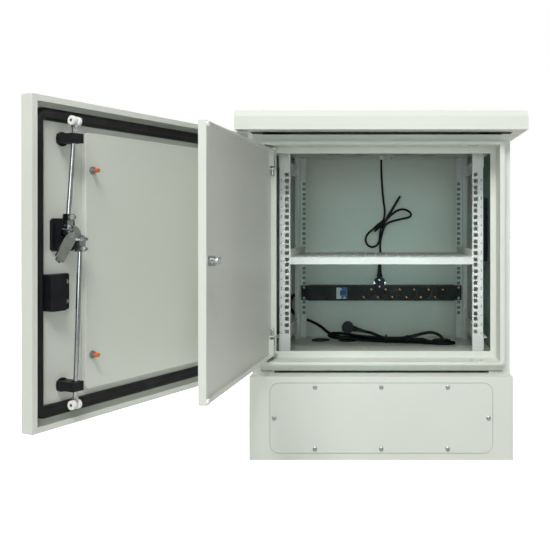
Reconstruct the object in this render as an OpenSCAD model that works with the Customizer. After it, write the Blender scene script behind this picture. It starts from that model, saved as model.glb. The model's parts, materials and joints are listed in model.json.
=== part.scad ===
// Roadside equipment cabinet on a plinth: a rack of nine units behind two open doors.
// Millimetres, +X right, +Y to the back, +Z up. The origin is the centre of the plinth's underside.

/* [Cabinet] */
// Width of the plinth and the body
body_w = 600; // [580:5:680]
// Depth of the plinth, and of the body to its back
body_d = 600; // [580:5:700]
// Height of the body between plinth and roof
body_h = 553; // [545:1:620]
// Distance of the body's face behind the plinth's face
face_setback = 44; // [40:1:50]
// Thickness of the body's sheet steel
sheet = 1.5; // [1.2:0.1:2]
// Width of the flanges that the panels are folded with
panel_flange = 18; // [14:1:22]
// Height of the air gap above the plinth and under the roof
vent_gap = 4; // [3:0.5:6]
// Depth of the ceiling pan below the body's top
ceiling_drop = 9; // [7:0.5:12]

/* [Plinth] */
// Height of the plinth
plinth_h = 190; // [180:5:300]
// Thickness of the plinth's sheet steel
plinth_sheet = 2; // [1.5:0.5:3]
// Width of the plinth's foot flange
foot_flange = 80; // [70:5:100]
// Width of the plinth's head flange
head_flange = 60; // [50:5:80]
// Distance between the floor anchors, both ways
anchor_span = 500; // [480:5:520]
// Radius of the floor anchor holes
anchor_r = 7; // [5:0.5:9]
// Side of the square pads that carry the body
pad_side = 50; // [40:5:60]
// Width of the access cover
cover_w = 505; // [460:5:530]
// Height of the access cover
cover_h = 158; // [140:2:164]
// Corner radius of the access cover
cover_r = 20; // [10:1:30]
// Height of the access cover's lower edge
cover_foot = 17; // [12:1:24]
// Distance of the cover's screws from its edge
cover_screw_inset = 9; // [7:1:12]
// Distance between the screws of a row
cover_screw_pitch = 151; // [120:1:160]
// Radius of the cover's screws
cover_screw_r = 2.5; // [2:0.5:4]

/* [Roof] */
// Overhang of the roof at each side and at the back
roof_side = 33; // [28:1:45]
// Overhang of the roof in front of the plinth
roof_front = 10; // [4:1:20]
// Height of the roof's upright border
roof_border = 30; // [24:1:45]
// Height of the slope above the border
roof_slope = 15; // [12:1:26]
// Width of the fold under the roof's front edge
roof_fold_front = 48; // [40:1:52]
// Width of the fold under the roof's other edges
roof_fold_side = 27; // [20:1:27]

/* [Door opening] */
// Distance of the rain lip from the body's side
lip_side = 15; // [13:0.5:18]
// Distance of the rain lip from the body's lower edge
lip_foot = 17; // [16:0.5:20]
// Distance of the rain lip from the body's upper edge
lip_head = 19; // [17:0.5:22]
// Height of the rain lip in front of the body's face
lip_out = 17; // [14:0.5:18]
// Width of the rain lip at the sides
lip_band_side = 10.6; // [9:0.1:12]
// Width of the rain lip at the head and the foot
lip_band_end = 7.5; // [6:0.5:9]
// Outer corner radius of the rain lip
lip_r = 9; // [5:1:12]
// Distance of the inner door's landing behind the rain lip
reveal_depth = 65; // [62:1:70]
// Width of the landing at the sides
landing_side = 13.4; // [12:0.1:15]
// Width of the landing at the head and the foot
landing_end = 14.5; // [12:0.5:16]

/* [Outer door] */
// Angle at which the outer door stands open
outer_open = 115; // [90:1:118]
// Distance of the outer door's edges from the body's outline
outer_inset = 2; // [1:0.5:3]
// Depth of the outer door's pan
outer_depth = 25; // [22:1:28]
// Gap between the outer door's rim and the body's face
outer_gap = 4; // [3:0.5:6]
// Width of the fold along the outer door's rim
outer_fold = 10; // [6:0.5:11]
// Width of the door's gasket
gasket_w = 21; // [18:1:24]
// Gap between the gasket and the rain lip when the door is closed
gasket_gap = 0.5; // [0.3:0.1:1]
// Thickness of the door's inner panel
panel_t = 11; // [8:1:13]
// Distance of the inner panel's edge from the door's free edge
panel_free = 114; // [108:1:125]
// Distance of the inner panel from the gasket
panel_gap = 6; // [4:1:12]
// Distance of the hinge axis from the body's side
hinge_out = 6; // [5.5:0.5:8]
// Radius of the hinge knuckles
knuckle_r = 5; // [4:0.5:5]
// Radius of the hinge pins
hinge_pin_r = 3; // [2:0.5:3.5]
// Length of one hinge knuckle
knuckle_h = 30; // [24:2:40]
// Width of the hinge leaves along the body
leaf_w = 36; // [30:1:45]
// Thickness of the hinge leaves
leaf_t = 2; // [1.5:0.5:2.5]
// Distance of the hinges from the body's ends
hinge_end = 105; // [90:5:130]

/* [Lock] */
// Distance of the lock's spindle from the outer door's free edge
lock_free = 78; // [74:1:82]
// Height of the lock's spindle above the body's lower edge
lock_rise = 326; // [310:1:340]
// Angle at which the lock stands turned from its locked place
lock_open = 54; // [0:1:60]
// Distance of the lock's cam from the door's skin
cam_standoff = 31; // [29:1:33]
// Thickness of the lock's cam
cam_t = 3; // [2:0.5:4]
// Radius on which the rods hang
arm_r = 17; // [15:0.5:19]
// Length of the lock's tongue
tongue_l = 58; // [56:1:60]
// Width of the lock's tongue
tongue_w = 20; // [16:1:20]
// Radius of the rods
rod_r = 4; // [3:0.5:4.5]
// Place of the rods' far ends towards the hinge side of the spindle
rod_shift = 2; // [0:0.5:3]
// Distance of the rollers from the door opening's head and foot
roller_clear = 10; // [9.5:0.5:12]
// Radius of the rollers
roller_r = 8; // [7:0.5:8]
// Width of one roller disc
roller_w = 5; // [4:0.5:6]
// Distance between the two discs of a roller
roller_pitch = 11.6; // [11:0.1:13]
// Distance of the rod guides from the door's ends
guide_end = 65; // [62:1:72]
// Width of the handle's plate
plate_w = 52; // [46:1:60]
// Height of the handle's plate
plate_h = 180; // [160:5:200]
// Length of the handle's lever
lever_l = 122; // [110:2:130]
// Angle at which the lever stands lifted
lever_lift = 25; // [0:1:50]

/* [Inner door] */
// Angle at which the inner door stands open
inner_open = 95; // [80:1:97]
// Gap between the inner door and the door opening's wall
inner_gap = 8.5; // [8:0.5:10]
// Depth of the inner door's pan
inner_depth = 14; // [12:1:15]
// Gap between the inner door and its landing
inner_seat = 5; // [4.5:0.5:6]
// Distance of the inner hinge's axis from the inner door's edge
inner_axis_in = 8; // [7:0.5:9]
// Radius of the inner door's hinge pins
inner_pin_r = 3; // [2.5:0.5:3.5]
// Travel of the inner door's hinge pins
inner_pin_travel = 6; // [4:0.5:7]
// Height of the inner lock above the body's lower edge
inner_lock_rise = 278; // [260:1:300]

/* [Rack] */
// Number of rack units
rack_units = 9; // [6:1:9]
// Distance between the rack's hole columns
rack_holes = 465.1; // [465:0.1:466]
// Clear width between the rack's rails
rack_clear = 450; // [448:0.5:452]
// Side of the rack's square holes
rack_hole = 9.5; // [9:0.1:10]
// Height of the lowest rack hole above the floor panel
rack_foot = 75; // [60:1:80]
// Width of the front rails' faces
rail_w = 26; // [24:1:28]
// Thickness of the rails' sheet steel
rail_t = 2; // [1.5:0.5:2.5]
// Distance of the front rails behind the landing
rail_setback = 56; // [50:1:70]
// Distance of the rear rails' faces from the body's back
rail_back = 36; // [34:1:40]
// Height of the braces between front and rear rails
brace_h = 32; // [25:1:40]
// Distance of the braces from the floor and the ceiling panel
brace_end = 29; // [20:1:35]
// Height of the shelf's top above the floor panel
shelf_rise = 258; // [250:1:270]
// Height of the shelf's front edge
shelf_edge = 17; // [12:1:25]
// Depth of the shelf
shelf_d = 357; // [300:1:357]
// Height of the shelf's upturned sides
shelf_side = 20; // [15:1:30]

/* [Power strip] */
// Rack unit that holds the power strip, counted from the bottom
strip_unit = 2; // [2:1:3]
// Distance of the strip's face in front of the rear rails
strip_front = 24; // [18:1:26]
// Depth of the power strip
strip_d = 50; // [40:1:54]
// Number of sockets
socket_count = 6; // [4:1:6]
// Distance between the sockets
socket_pitch = 42.6; // [42:0.1:44]
// Radius of a socket's recess
socket_r = 18.6; // [17:0.1:19]
// Depth of a socket's recess
socket_d = 12; // [10:1:14]

/* [Fans and floor] */
// Side of a fan's housing
fan_side = 120; // [110:1:125]
// Height of a fan's housing
fan_h = 25; // [22:1:30]
// Distance between the fans
fan_pitch = 190; // [150:5:240]
// Distance of the fans from the body's back
fan_back = 170; // [150:5:200]
// Radius of the floor grommets
grommet_r = 26.5; // [20:0.5:28]
// Distance of the floor grommets from the body's back
grommet_back = 95; // [90:1:100]

/* [Hidden] */
$fn = 48;

// Running clearance of pins and shafts, and the clear space beside a seated piece
run_fit = 0.08;
clear = 0.3;
// Length by which a cut runs past the face that it opens
past = 1;

// Colours
paint = [0.86, 0.87, 0.84];
rack_paint = [0.78, 0.80, 0.78];
black = [0.07, 0.07, 0.08];
chrome = [0.75, 0.76, 0.78];
white = [0.94, 0.94, 0.92];
copper = [0.80, 0.45, 0.22];
cream = [0.85, 0.83, 0.74];
fan_grey = [0.62, 0.64, 0.62];
bar_grey = [0.12, 0.15, 0.20];
blue = [0.15, 0.30, 0.62];

// Main planes of plinth, body and roof
side_x = body_w / 2;
front_y = -body_d / 2;
rear_y = body_d / 2;
face_y = front_y + face_setback;
body_z0 = plinth_h + vent_gap;
body_z1 = body_z0 + body_h;
in_x = side_x - sheet;
in_rear = rear_y - sheet;
in_z0 = body_z0 + sheet;
in_z1 = body_z1 - sheet;
floor_z = in_z0 + sheet;
ceiling_z = body_z1 - ceiling_drop;
roof_z = body_z1 + vent_gap;

// Planes of the door opening
lip_y = face_y - lip_out;
landing_y = lip_y + reveal_depth;
lip_x = side_x - lip_side;
lip_z = [body_z0 + lip_foot, body_z1 - lip_head];
open_x = lip_x - lip_band_side;
open_z = [lip_z[0] + lip_band_end, lip_z[1] - lip_band_end];
mouth_x = open_x - landing_side;
mouth_z = [open_z[0] + landing_end, open_z[1] - landing_end];

// Outer door, as it stands when closed
outer_rim_y = face_y - outer_gap;
outer_y = outer_rim_y - outer_depth;
skin_y = outer_y + sheet;
outer_x = side_x - outer_inset;
outer_z = [body_z0 + outer_inset / 2, body_z1 - outer_inset / 2];
gasket_y = lip_y - gasket_gap;
hinge = [-side_x - hinge_out, outer_rim_y, 0];
hinge_z = [body_z0 + hinge_end, body_z1 - hinge_end];

// Lock of the outer door, as it stands when closed and locked
cam_x = outer_x - lock_free;
cam_z = body_z0 + lock_rise;
cam_y = skin_y + cam_standoff;
cam = [cam_x, cam_y, cam_z];
rod_x = cam_x - rod_shift;
roller_z = [open_z[0] + roller_clear, open_z[1] - roller_clear];
upper_pivot = [cam_x + arm_r * sin(lock_open), cam_y, cam_z + arm_r * cos(lock_open)];
lower_pivot = [cam_x - arm_r * sin(lock_open), cam_y, cam_z - arm_r * cos(lock_open)];
upper_lean = atan2(rod_x - upper_pivot[0], roller_z[1] - upper_pivot[2]);
lower_lean = atan2(rod_x - lower_pivot[0], lower_pivot[2] - roller_z[0]);
upper_l = norm([rod_x - upper_pivot[0], roller_z[1] - upper_pivot[2]]);
lower_l = norm([rod_x - lower_pivot[0], lower_pivot[2] - roller_z[0]]);
bolt_r = 2.5;
fork_t = 12;
fork_w = 13;
fork_slot = cam_t + 1;
fork_l = 22;
fork_mouth = 10;
guide_z = [outer_z[0] + guide_end, outer_z[1] - guide_end];
guide_slot = rod_r + 4.2;
guide_wall = 3;
plate_t = 6;
plate_r = 14;
spindle_r = 6;
hub_r = 15;
hub_t = 6;
cheek_l = 12;
lever_w = 16;
lever_t = 8.4;
lever_y = outer_y - plate_t - clear - hub_t - clear - lever_t / 2;
keeper = 26;

// Inner door, as it stands when closed
inner_x = open_x - inner_gap;
inner_z = [open_z[0] + inner_gap, open_z[1] - inner_gap];
inner_rim_y = landing_y - inner_seat;
inner_y = inner_rim_y - inner_depth;
inner_hinge = [-inner_x + inner_axis_in, inner_y + inner_depth / 2, 0];
inner_lock_x = inner_x - 21;
inner_lock_z = body_z0 + inner_lock_rise;
inner_cam_y = landing_y + sheet + 2.5;
inner_cam_l = 34;
inner_cam_w = 12;
inner_barrel_r = 9;
lug_h = 6;
pin_collar = inner_pin_r + 1.2;
pin_collar_z = 20;
bracket_w = 22;
bracket_h = 44;

// Rack
front_rail_y = landing_y + rail_setback;
rear_rail_y = rear_y - rail_back;
rail_in = rack_clear / 2;
rail_out = rail_in + rail_w;
rear_face_w = 20;
rear_step = 24;
rear_out = rail_in + rear_face_w + 12;
unit_h = 44.45;
unit_holes = [0, 15.875, 31.75];
unit_lead = 6.35;
rack_z = floor_z + rack_foot;
shelf_z = floor_z + shelf_rise;
slot_l = 62;
slot_w = 6;

// Power strip
strip_y = rear_rail_y - strip_front;
strip_z0 = rack_z - unit_lead + (strip_unit - 1) * unit_h + clear;
strip_z1 = strip_z0 + unit_h - 2 * clear;
strip_z = (strip_z0 + strip_z1) / 2;
strip_x = rail_in - 6;
ear_x = 241.3;
socket_x0 = -strip_x + 178;
breaker_x = [-strip_x + 85, -strip_x + 117];
window_x = [-strip_x + 54, -strip_x + 138];
window_d = 10;
window_h = 34;
toggle_r = 6;
relief_l = 22;
relief_r = 7;
relief_y = strip_y + strip_d - 11;

// Fans, gland and grommets
fan_y = rear_y - fan_back;
fan_x = fan_pitch / 2;
fan_bore = fan_side / 2 - 2;
fan_z = ceiling_z + sheet;
gland_r = 11;
gland_h = 10;
gland_y = rear_y - 86;
grommet_x = [-177, -98, 98, 177];
grommet_y = rear_y - grommet_back;
grommet_h = 3;

// Grooved bar on the right wall
bar_rise = 237;
bar_h = 176;
bar_d = 15;
bar_w = 40;
bar_back = 200;

// Routes of the two cords: from the gland, and from the power strip's end
fan_cord_r = 3.5;
strip_cord_r = 4.25;
fan_hank_t = 36;
fan_hank_y = gland_y + 5;
fan_hank_r = 40;
fan_hank_ends = [[54, 582], [-14, 502]];
strip_hank_at = [25, rear_y - 123];
strip_hank_l = 376;
strip_hank_w = 58;
strip_hank_h = 20;
strip_hank_turn = -13;
strip_hank_z = floor_z + grommet_h + clear / 3;
plug_r = 17;
plug_t = 22;
fan_sleeve_l = 38;
strip_sleeve_l = 30;
strip_plug_tilt = 14;
fan_plug_at = [-5, gland_y, 366];
strip_plug_at = [-98, rear_y - 105, strip_hank_z + strip_hank_h + clear + plug_r];
strip_plug_out = [cos(strip_plug_tilt), 0, -sin(strip_plug_tilt)];
fan_route = [
  for (p = [
    [0, ceiling_z - gland_h], [0, 712], [1, 690], [3, 660], [6, 630], [9, 605], [10, 582], [10, 558]
  ])
    [p[0], gland_y, p[1]]
];
fan_tail_route = [
  for (p = [[-6, 478], [-5, 465], [-4, 450], [-5, 436], [-5, fan_plug_at[2] + plug_r + fan_sleeve_l - 2]])
    [p[0], gland_y, p[1]]
];
strip_route = [
  [-strip_x - relief_l, relief_y, strip_z], [-247, relief_y, strip_z], [-258, relief_y, strip_z - 4],
  [-269, relief_y, strip_z - 14], [-275, relief_y, strip_z - 31], [-272, rear_y - 22, strip_z - 52],
  [-258, rear_y - 23, strip_z - 68], [-238, rear_y - 24, strip_z - 78], [-215, rear_y - 28, 246],
  [-194, rear_y - 38, 238], [-178, rear_y - 50, 230], [-166, rear_y - 62, 222], [-155, rear_y - 72, 216],
  [-143, rear_y - 80, 212]
];
strip_tail_route = concat(
  [for (l = [0, 9]) strip_plug_at + (plug_r + strip_sleeve_l - 2 + l) * strip_plug_out],
  [for (p = [[66, -2, -17], [78, -5, -20], [92, -10, -23]]) strip_plug_at + p]
);

// Helpers for boxes, plates and round bars

module slab(x, y, z) {
  translate([x[0], y[0], z[0]])
    cube([x[1] - x[0], y[1] - y[0], z[1] - z[0]]);
}

// Extrudes an outline drawn in X and Z from y towards the back
module upright(y, t) {
  translate([0, y + t, 0])
    rotate([90, 0, 0])
      linear_extrude(t)
        children();
}

// Extrudes an outline drawn in Y and Z between two places along X
module lengthwise(x0, x1) {
  translate([x0, 0, 0])
    rotate([90, 0, 90])
      linear_extrude(x1 - x0)
        children();
}

module round_rect(x, y, r) {
  translate([x[0] + r, y[0]])
    square([x[1] - x[0] - 2 * r, y[1] - y[0]]);
  translate([x[0], y[0] + r])
    square([x[1] - x[0], y[1] - y[0] - 2 * r]);
  for (px = [x[0] + r, x[1] - r], py = [y[0] + r, y[1] - r])
    translate([px, py])
      circle(r);
}

module ring(x_out, z_out, x_in, z_in, r_out, r_in) {
  difference() {
    round_rect([-x_out, x_out], z_out, r_out);
    round_rect([-x_in, x_in], z_in, r_in);
  }
}

module bar_x(p, l, r) {
  translate(p)
    rotate([0, 90, 0])
      cylinder(h = l, r = r);
}

module bar_y(p, l, r) {
  translate(p)
    rotate([-90, 0, 0])
      cylinder(h = l, r = r);
}

module bar_z(p, l, r) {
  translate(p)
    cylinder(h = l, r = r);
}

module left_of() {
  mirror([1, 0, 0])
    children();
}

// Places that move: each piece is drawn closed and locked, then carried to where it stands

module turned_z(at, angle) {
  translate([at[0], at[1], 0])
    rotate([0, 0, angle])
      translate([-at[0], -at[1], 0])
        children();
}

module turned_y(at, angle) {
  translate([at[0], 0, at[2]])
    rotate([0, angle, 0])
      translate([-at[0], 0, -at[2]])
        children();
}

module turned_x(at, angle) {
  translate([0, at[1], at[2]])
    rotate([angle, 0, 0])
      translate([0, -at[1], -at[2]])
        children();
}

module on_outer_door() {
  turned_z(hinge, -outer_open)
    children();
}

module on_lock() {
  on_outer_door()
    turned_y(cam, lock_open)
      children();
}

module on_inner_door() {
  turned_z(inner_hinge, -inner_open)
    children();
}

// Sweeps a tube of round section along a smooth curve through the points of a route

function curve_at(p, i, t) =
  let (
    a = p[max(i - 1, 0)],
    b = p[i],
    c = p[i + 1],
    d = p[min(i + 2, len(p) - 1)]
  )
  0.5 * (2 * b + (c - a) * t + (2 * a - 5 * b + 4 * c - d) * t * t + (3 * b - a - 3 * c + d) * t * t * t);

function smooth(p, steps) = concat(
  [for (i = [0 : len(p) - 2], s = [0 : steps - 1]) curve_at(p, i, s / steps)],
  [p[len(p) - 1]]
);

function unit(v) = v / norm(v);

// Direction along a path, which at its ends is that of the route's first and last stretch
function heading(route, p, i) =
  i == 0 ? unit(route[1] - route[0]) :
  i == len(p) - 1 ? unit(route[len(route) - 1] - route[len(route) - 2]) :
  unit(p[i + 1] - p[i - 1]);

function tube_ring(route, p, i, r, sides) =
  let (
    t = heading(route, p, i),
    u = unit(cross(t, [0, 1, 0])),
    v = cross(t, u)
  )
  [for (k = [0 : sides - 1]) p[i] + r * (u * cos(360 * k / sides) + v * sin(360 * k / sides))];

module tube(route, r, steps = 2, sides = 10) {
  path = smooth(route, steps);
  n = len(path);
  rings = [for (i = [0 : n - 1]) each tube_ring(route, path, i, r, sides)];
  sides_faces = [
    for (i = [0 : n - 2], k = [0 : sides - 1])
      let (next = (k + 1) % sides)
      [i * sides + k, (i + 1) * sides + k, (i + 1) * sides + next, i * sides + next]
  ];
  first_cap = [for (k = [0 : sides - 1]) k];
  last_cap = [for (k = [sides - 1 : -1 : 0]) (n - 1) * sides + k];
  polyhedron(points = rings, faces = concat(sides_faces, [first_cap, last_cap]), convexity = 6);
}

// Plinth

cover_x = cover_w / 2;
cover_z = [cover_foot, cover_foot + cover_h];
cover_mid = (cover_z[0] + cover_z[1]) / 2;
cover_screws = concat(
  [for (i = [-1 : 1], z = [cover_z[0] + cover_screw_inset, cover_z[1] - cover_screw_inset])
    [i * cover_screw_pitch, z]],
  [for (s = [-1, 1]) [s * (cover_x - cover_screw_inset), cover_mid]]
);
cover_land = 2 * cover_screw_inset + 4;

module plinth() {
  wall = plinth_sheet;
  color(paint)
    difference() {
      union() {
        difference() {
          slab([-side_x, side_x], [front_y, rear_y], [0, plinth_h]);
          slab([-side_x + wall, side_x - wall], [front_y + wall, rear_y - wall], [wall, plinth_h - wall]);
          slab([-side_x + foot_flange, side_x - foot_flange], [front_y + foot_flange, rear_y - foot_flange],
            [-past, plinth_h / 2]);
          slab([-side_x + head_flange, side_x - head_flange], [front_y + head_flange, rear_y - head_flange],
            [plinth_h / 2, plinth_h + past]);
        }
        for (x = [-side_x, side_x - pad_side], y = [face_y, rear_y - pad_side])
          slab([x, x + pad_side], [y, y + pad_side], [plinth_h, body_z0]);
      }
      upright(front_y - past, wall + 2 * past)
        round_rect([-cover_x + cover_land, cover_x - cover_land],
          [cover_z[0] + cover_land, cover_z[1] - cover_land], cover_r / 2);
      for (p = cover_screws)
        bar_y([p[0], front_y - past, p[1]], wall + 2 * past, cover_screw_r + clear);
      for (x = [-anchor_span / 2, anchor_span / 2], y = [-anchor_span / 2, anchor_span / 2])
        bar_z([x, y, -past], wall + 2 * past, anchor_r);
    }
}

module plinth_cover() {
  color(paint)
    difference() {
      upright(front_y - sheet, sheet)
        round_rect([-cover_x, cover_x], cover_z, cover_r);
      for (p = cover_screws)
        bar_y([p[0], front_y - sheet - past, p[1]], sheet + 2 * past, cover_screw_r + clear);
    }
}

module plinth_cover_screws() {
  head_h = 2.4;
  color(chrome)
    for (p = cover_screws)
      translate([p[0], front_y - sheet, p[1]])
        rotate([90, 0, 0])
          difference() {
            union() {
              translate([0, 0, -plinth_sheet - sheet - 4])
                cylinder(h = plinth_sheet + sheet + 4, r = cover_screw_r);
              cylinder(h = head_h / 2, r = 2 * cover_screw_r);
              translate([0, 0, head_h / 2])
                cylinder(h = head_h / 2, r1 = 2 * cover_screw_r, r2 = 1.4 * cover_screw_r);
            }
            translate([0, 0, head_h / 2])
              cylinder(h = head_h, r = 1.3, $fn = 6);
          }
}

// Body

module side_panel() {
  color(paint) {
    slab([in_x, side_x], [face_y, rear_y], [body_z0, body_z1]);
    for (z = [body_z0, in_z1])
      slab([side_x - panel_flange, side_x], [face_y, rear_y], [z, z + sheet]);
  }
}

module side_panel_right() {
  side_panel();
}

module side_panel_left() {
  left_of()
    side_panel();
}

module rear_panel() {
  color(paint) {
    slab([-in_x, in_x], [in_rear, rear_y], [in_z0, in_z1]);
    for (x = [-in_x, in_x - sheet])
      slab([x, x + sheet], [rear_y - panel_flange, rear_y], [floor_z, ceiling_z]);
  }
}

module floor_panel() {
  color(paint)
    difference() {
      slab([-in_x, in_x], [face_y + sheet, in_rear], [in_z0, floor_z]);
      for (x = grommet_x)
        bar_z([x, grommet_y, in_z0 - past], sheet + 2 * past, grommet_r - 2);
    }
}

module ceiling_panel() {
  color(paint)
    difference() {
      slab([-in_x, in_x], [face_y + sheet, in_rear], [ceiling_z, in_z1]);
      slab([-in_x + sheet, in_x - sheet], [face_y + 2 * sheet, in_rear - sheet],
        [ceiling_z + sheet, in_z1 + past]);
      for (s = [-1, 1])
        bar_z([s * fan_x, fan_y, ceiling_z - past], sheet + 2 * past, fan_bore);
      bar_z([0, gland_y, ceiling_z - past], sheet + 2 * past, gland_r - 3);
    }
}

module front_frame() {
  lip_open_x = lip_x - sheet;
  lip_open_z = [lip_z[0] + sheet, lip_z[1] - sheet];
  wall_x = open_x + sheet;
  wall_z = [open_z[0] - sheet, open_z[1] + sheet];
  keeper_y = [cam_y - roller_r - 3, cam_y + roller_r + 3];
  color(paint)
    difference() {
      union() {
        // Face around the opening, and the flanges that lie on the side panels
        upright(face_y, sheet)
          difference() {
            translate([-in_x, in_z0])
              square([2 * in_x, in_z1 - in_z0]);
            round_rect([-lip_open_x, lip_open_x], lip_open_z, lip_r - sheet);
          }
        for (x = [-in_x, in_x - sheet])
          slab([x, x + sheet], [face_y + sheet, face_y + panel_flange], [floor_z, ceiling_z]);
        // Rain lip, folded forward and back into the opening
        upright(lip_y, lip_out + sheet)
          ring(lip_x, lip_z, lip_open_x, lip_open_z, lip_r, lip_r - sheet);
        upright(lip_y, sheet)
          ring(lip_x, lip_z, open_x, open_z, lip_r, 2);
        upright(lip_y, reveal_depth)
          ring(wall_x, wall_z, open_x, open_z, 3, 2);
        // Landing of the inner door
        upright(landing_y, sheet)
          ring(wall_x, wall_z, mouth_x, mouth_z, 3, 2);
      }
      // Keepers of the two rollers and of the tongue
      slab([rod_x - keeper / 2 - 4, rod_x + keeper / 2 - 4], keeper_y,
        [open_z[1] - past, open_z[1] + sheet + past]);
      slab([rod_x - keeper / 2 + 3, rod_x + keeper / 2 + 3], keeper_y,
        [open_z[0] - sheet - past, open_z[0] + past]);
      slab([open_x - past, open_x + sheet + past], [cam_y - cam_t - 3, cam_y + cam_t + 3],
        [cam_z - 42, cam_z + tongue_w]);
    }
}

// Roof, a folded hood on two rails

module roof() {
  z1 = roof_z + roof_border;
  z2 = z1 + roof_slope;
  y0 = front_y - roof_front;
  y1 = rear_y + roof_side;
  x1 = side_x + roof_side;
  k = sheet * tan(22.5);
  rail_x = [side_x - panel_flange, side_x - 2];
  rail_y = [face_y + 24, rear_y - 20];
  color(paint) {
    difference() {
      lengthwise(-x1, x1)
        polygon([
          [y0, roof_z], [y0, z1], [y0 + roof_slope, z2],
          [y1 - roof_slope, z2], [y1, z1], [y1, roof_z]
        ]);
      lengthwise(-x1 + sheet, x1 - sheet)
        polygon([
          [y0 + sheet, roof_z + sheet], [y0 + sheet, z1 - k], [y0 + roof_slope + k, z2 - sheet],
          [y1 - roof_slope - k, z2 - sheet], [y1 - sheet, z1 - k], [y1 - sheet, roof_z + sheet]
        ]);
      slab([-x1 + roof_fold_side, x1 - roof_fold_side], [y0 + roof_fold_front, y1 - roof_fold_side],
        [roof_z - past, roof_z + 2 * sheet]);
    }
    for (s = [0, 1])
      mirror([s, 0, 0]) {
        slab([rail_x[0], rail_x[0] + sheet], rail_y, [body_z1, z2 - sheet / 2]);
        slab(rail_x, rail_y, [body_z1, body_z1 + sheet]);
        slab(rail_x, rail_y, [z2 - 2 * sheet, z2 - sheet / 2]);
      }
  }
}

// Rack

function hole_z(i) = rack_z + floor(i / 3) * unit_h + unit_holes[i % 3];

module rack_hole_column(x) {
  half = rack_hole / 2;
  for (i = [0 : 3 * rack_units - 1])
    translate([x, hole_z(i)]) {
      translate([-half, -half])
        square(rack_hole);
      if (i % 3 == 1)
        polygon([[half - past, -half], [half + 2, 0], [half - past, half]]);
    }
}

module rail_front() {
  flange_in = 14;
  flange_out = 30;
  color(rack_paint) {
    upright(front_rail_y, rail_t)
      difference() {
        translate([rail_in, floor_z])
          square([rail_w, ceiling_z - floor_z]);
        rack_hole_column(rack_holes / 2);
      }
    slab([rail_in, rail_in + rail_t], [front_rail_y, front_rail_y + flange_in], [floor_z, ceiling_z]);
    slab([rail_out - rail_t, rail_out], [front_rail_y, front_rail_y + flange_out], [floor_z, ceiling_z]);
  }
}

module rail_front_right() {
  rail_front();
}

module rail_front_left() {
  left_of()
    rail_front();
}

module rail_rear() {
  web = rail_in + rear_face_w - rail_t;
  step_y = rear_rail_y - rear_step;
  color(rack_paint) {
    upright(rear_rail_y, rail_t)
      difference() {
        translate([rail_in, floor_z])
          square([rear_face_w, ceiling_z - floor_z]);
        rack_hole_column(rack_holes / 2);
      }
    slab([web, web + rail_t], [step_y, rear_rail_y + rail_t], [floor_z, ceiling_z]);
    slab([web, rear_out], [step_y, step_y + rail_t], [floor_z, ceiling_z]);
  }
}

module rail_rear_right() {
  rail_rear();
}

module rail_rear_left() {
  left_of()
    rail_rear();
}

module rail_braces() {
  lower = floor_z + brace_end;
  upper = ceiling_z - brace_end - brace_h;
  brace_y = [front_rail_y + rail_t, rear_rail_y - rear_step];
  fold = 10;
  color(rack_paint)
    for (s = [0, 1], z = [lower, upper])
      mirror([s, 0, 0]) {
        slab([rail_out, rail_out + rail_t], brace_y, [z, z + brace_h]);
        slab([rail_out, rail_out + fold], brace_y, [z + brace_h - rail_t, z + brace_h]);
      }
}

module shelf() {
  back = front_rail_y + shelf_d;
  rows = 4;
  columns = 14;
  pitch_x = 2 * (rail_in - 20) / columns;
  pitch_y = (shelf_d - 40) / rows;
  color(rack_paint)
    difference() {
      union() {
        slab([-rail_in, rail_in], [front_rail_y, back], [shelf_z - sheet, shelf_z]);
        slab([-rail_in, rail_in], [front_rail_y, front_rail_y + sheet], [shelf_z - shelf_edge, shelf_z]);
        for (x = [-rail_in, rail_in - sheet])
          slab([x, x + sheet], [front_rail_y, back], [shelf_z - sheet, shelf_z + shelf_side]);
      }
      for (i = [0 : columns - 1], j = [0 : rows - 1])
        translate([-rail_in + 20 + (i + 0.5) * pitch_x, front_rail_y + 20 + (j + 0.5) * pitch_y,
          shelf_z - sheet - past])
          linear_extrude(sheet + 2 * past)
            round_rect([-slot_w / 2, slot_w / 2], [-slot_l / 2, slot_l / 2], slot_w / 2 - 0.01);
    }
}

// Power strip on the rear rails

function socket_x(i) = socket_x0 + i * socket_pitch;

module strip_housing() {
  cup = socket_r + 1.5 + clear;
  ear_t = 2;
  color(black)
    difference() {
      union() {
        slab([-strip_x, strip_x], [strip_y, strip_y + strip_d], [strip_z0, strip_z1]);
        slab([-ear_x, ear_x], [rear_rail_y - ear_t, rear_rail_y], [strip_z0, strip_z1]);
        translate([-strip_x, relief_y, strip_z])
          rotate([0, -90, 0])
            cylinder(h = relief_l, r1 = relief_r, r2 = strip_cord_r + 0.5);
      }
      for (i = [0 : socket_count - 1])
        bar_y([socket_x(i), strip_y - past, strip_z], socket_d + 3 + clear + past, cup);
      slab(window_x, [strip_y - past, strip_y + window_d],
        [strip_z - window_h / 2, strip_z + window_h / 2]);
      for (s = [-1, 1], z = [unit_holes[0], unit_holes[2]])
        bar_y([s * rack_holes / 2, rear_rail_y - ear_t - past, strip_z0 - clear + unit_lead + z],
          ear_t + 2 * past, 3.3);
    }
}

module strip_sockets() {
  pin_pitch = 19;
  color(black)
    for (i = [0 : socket_count - 1])
      translate([socket_x(i), strip_y, strip_z])
        rotate([-90, 45, 0])
          difference() {
            union() {
              cylinder(h = socket_d + 3, r = socket_r + 1.5);
              translate([0, 0, -1])
                cylinder(h = 1, r = socket_r + 2.4);
            }
            translate([0, 0, -past - 1])
              cylinder(h = socket_d + past + 1, r = socket_r);
            for (s = [-1, 1])
              translate([s * pin_pitch / 2, 0, 0])
                cylinder(h = socket_d + 3 + past, r = 2.6);
          }
}

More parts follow.
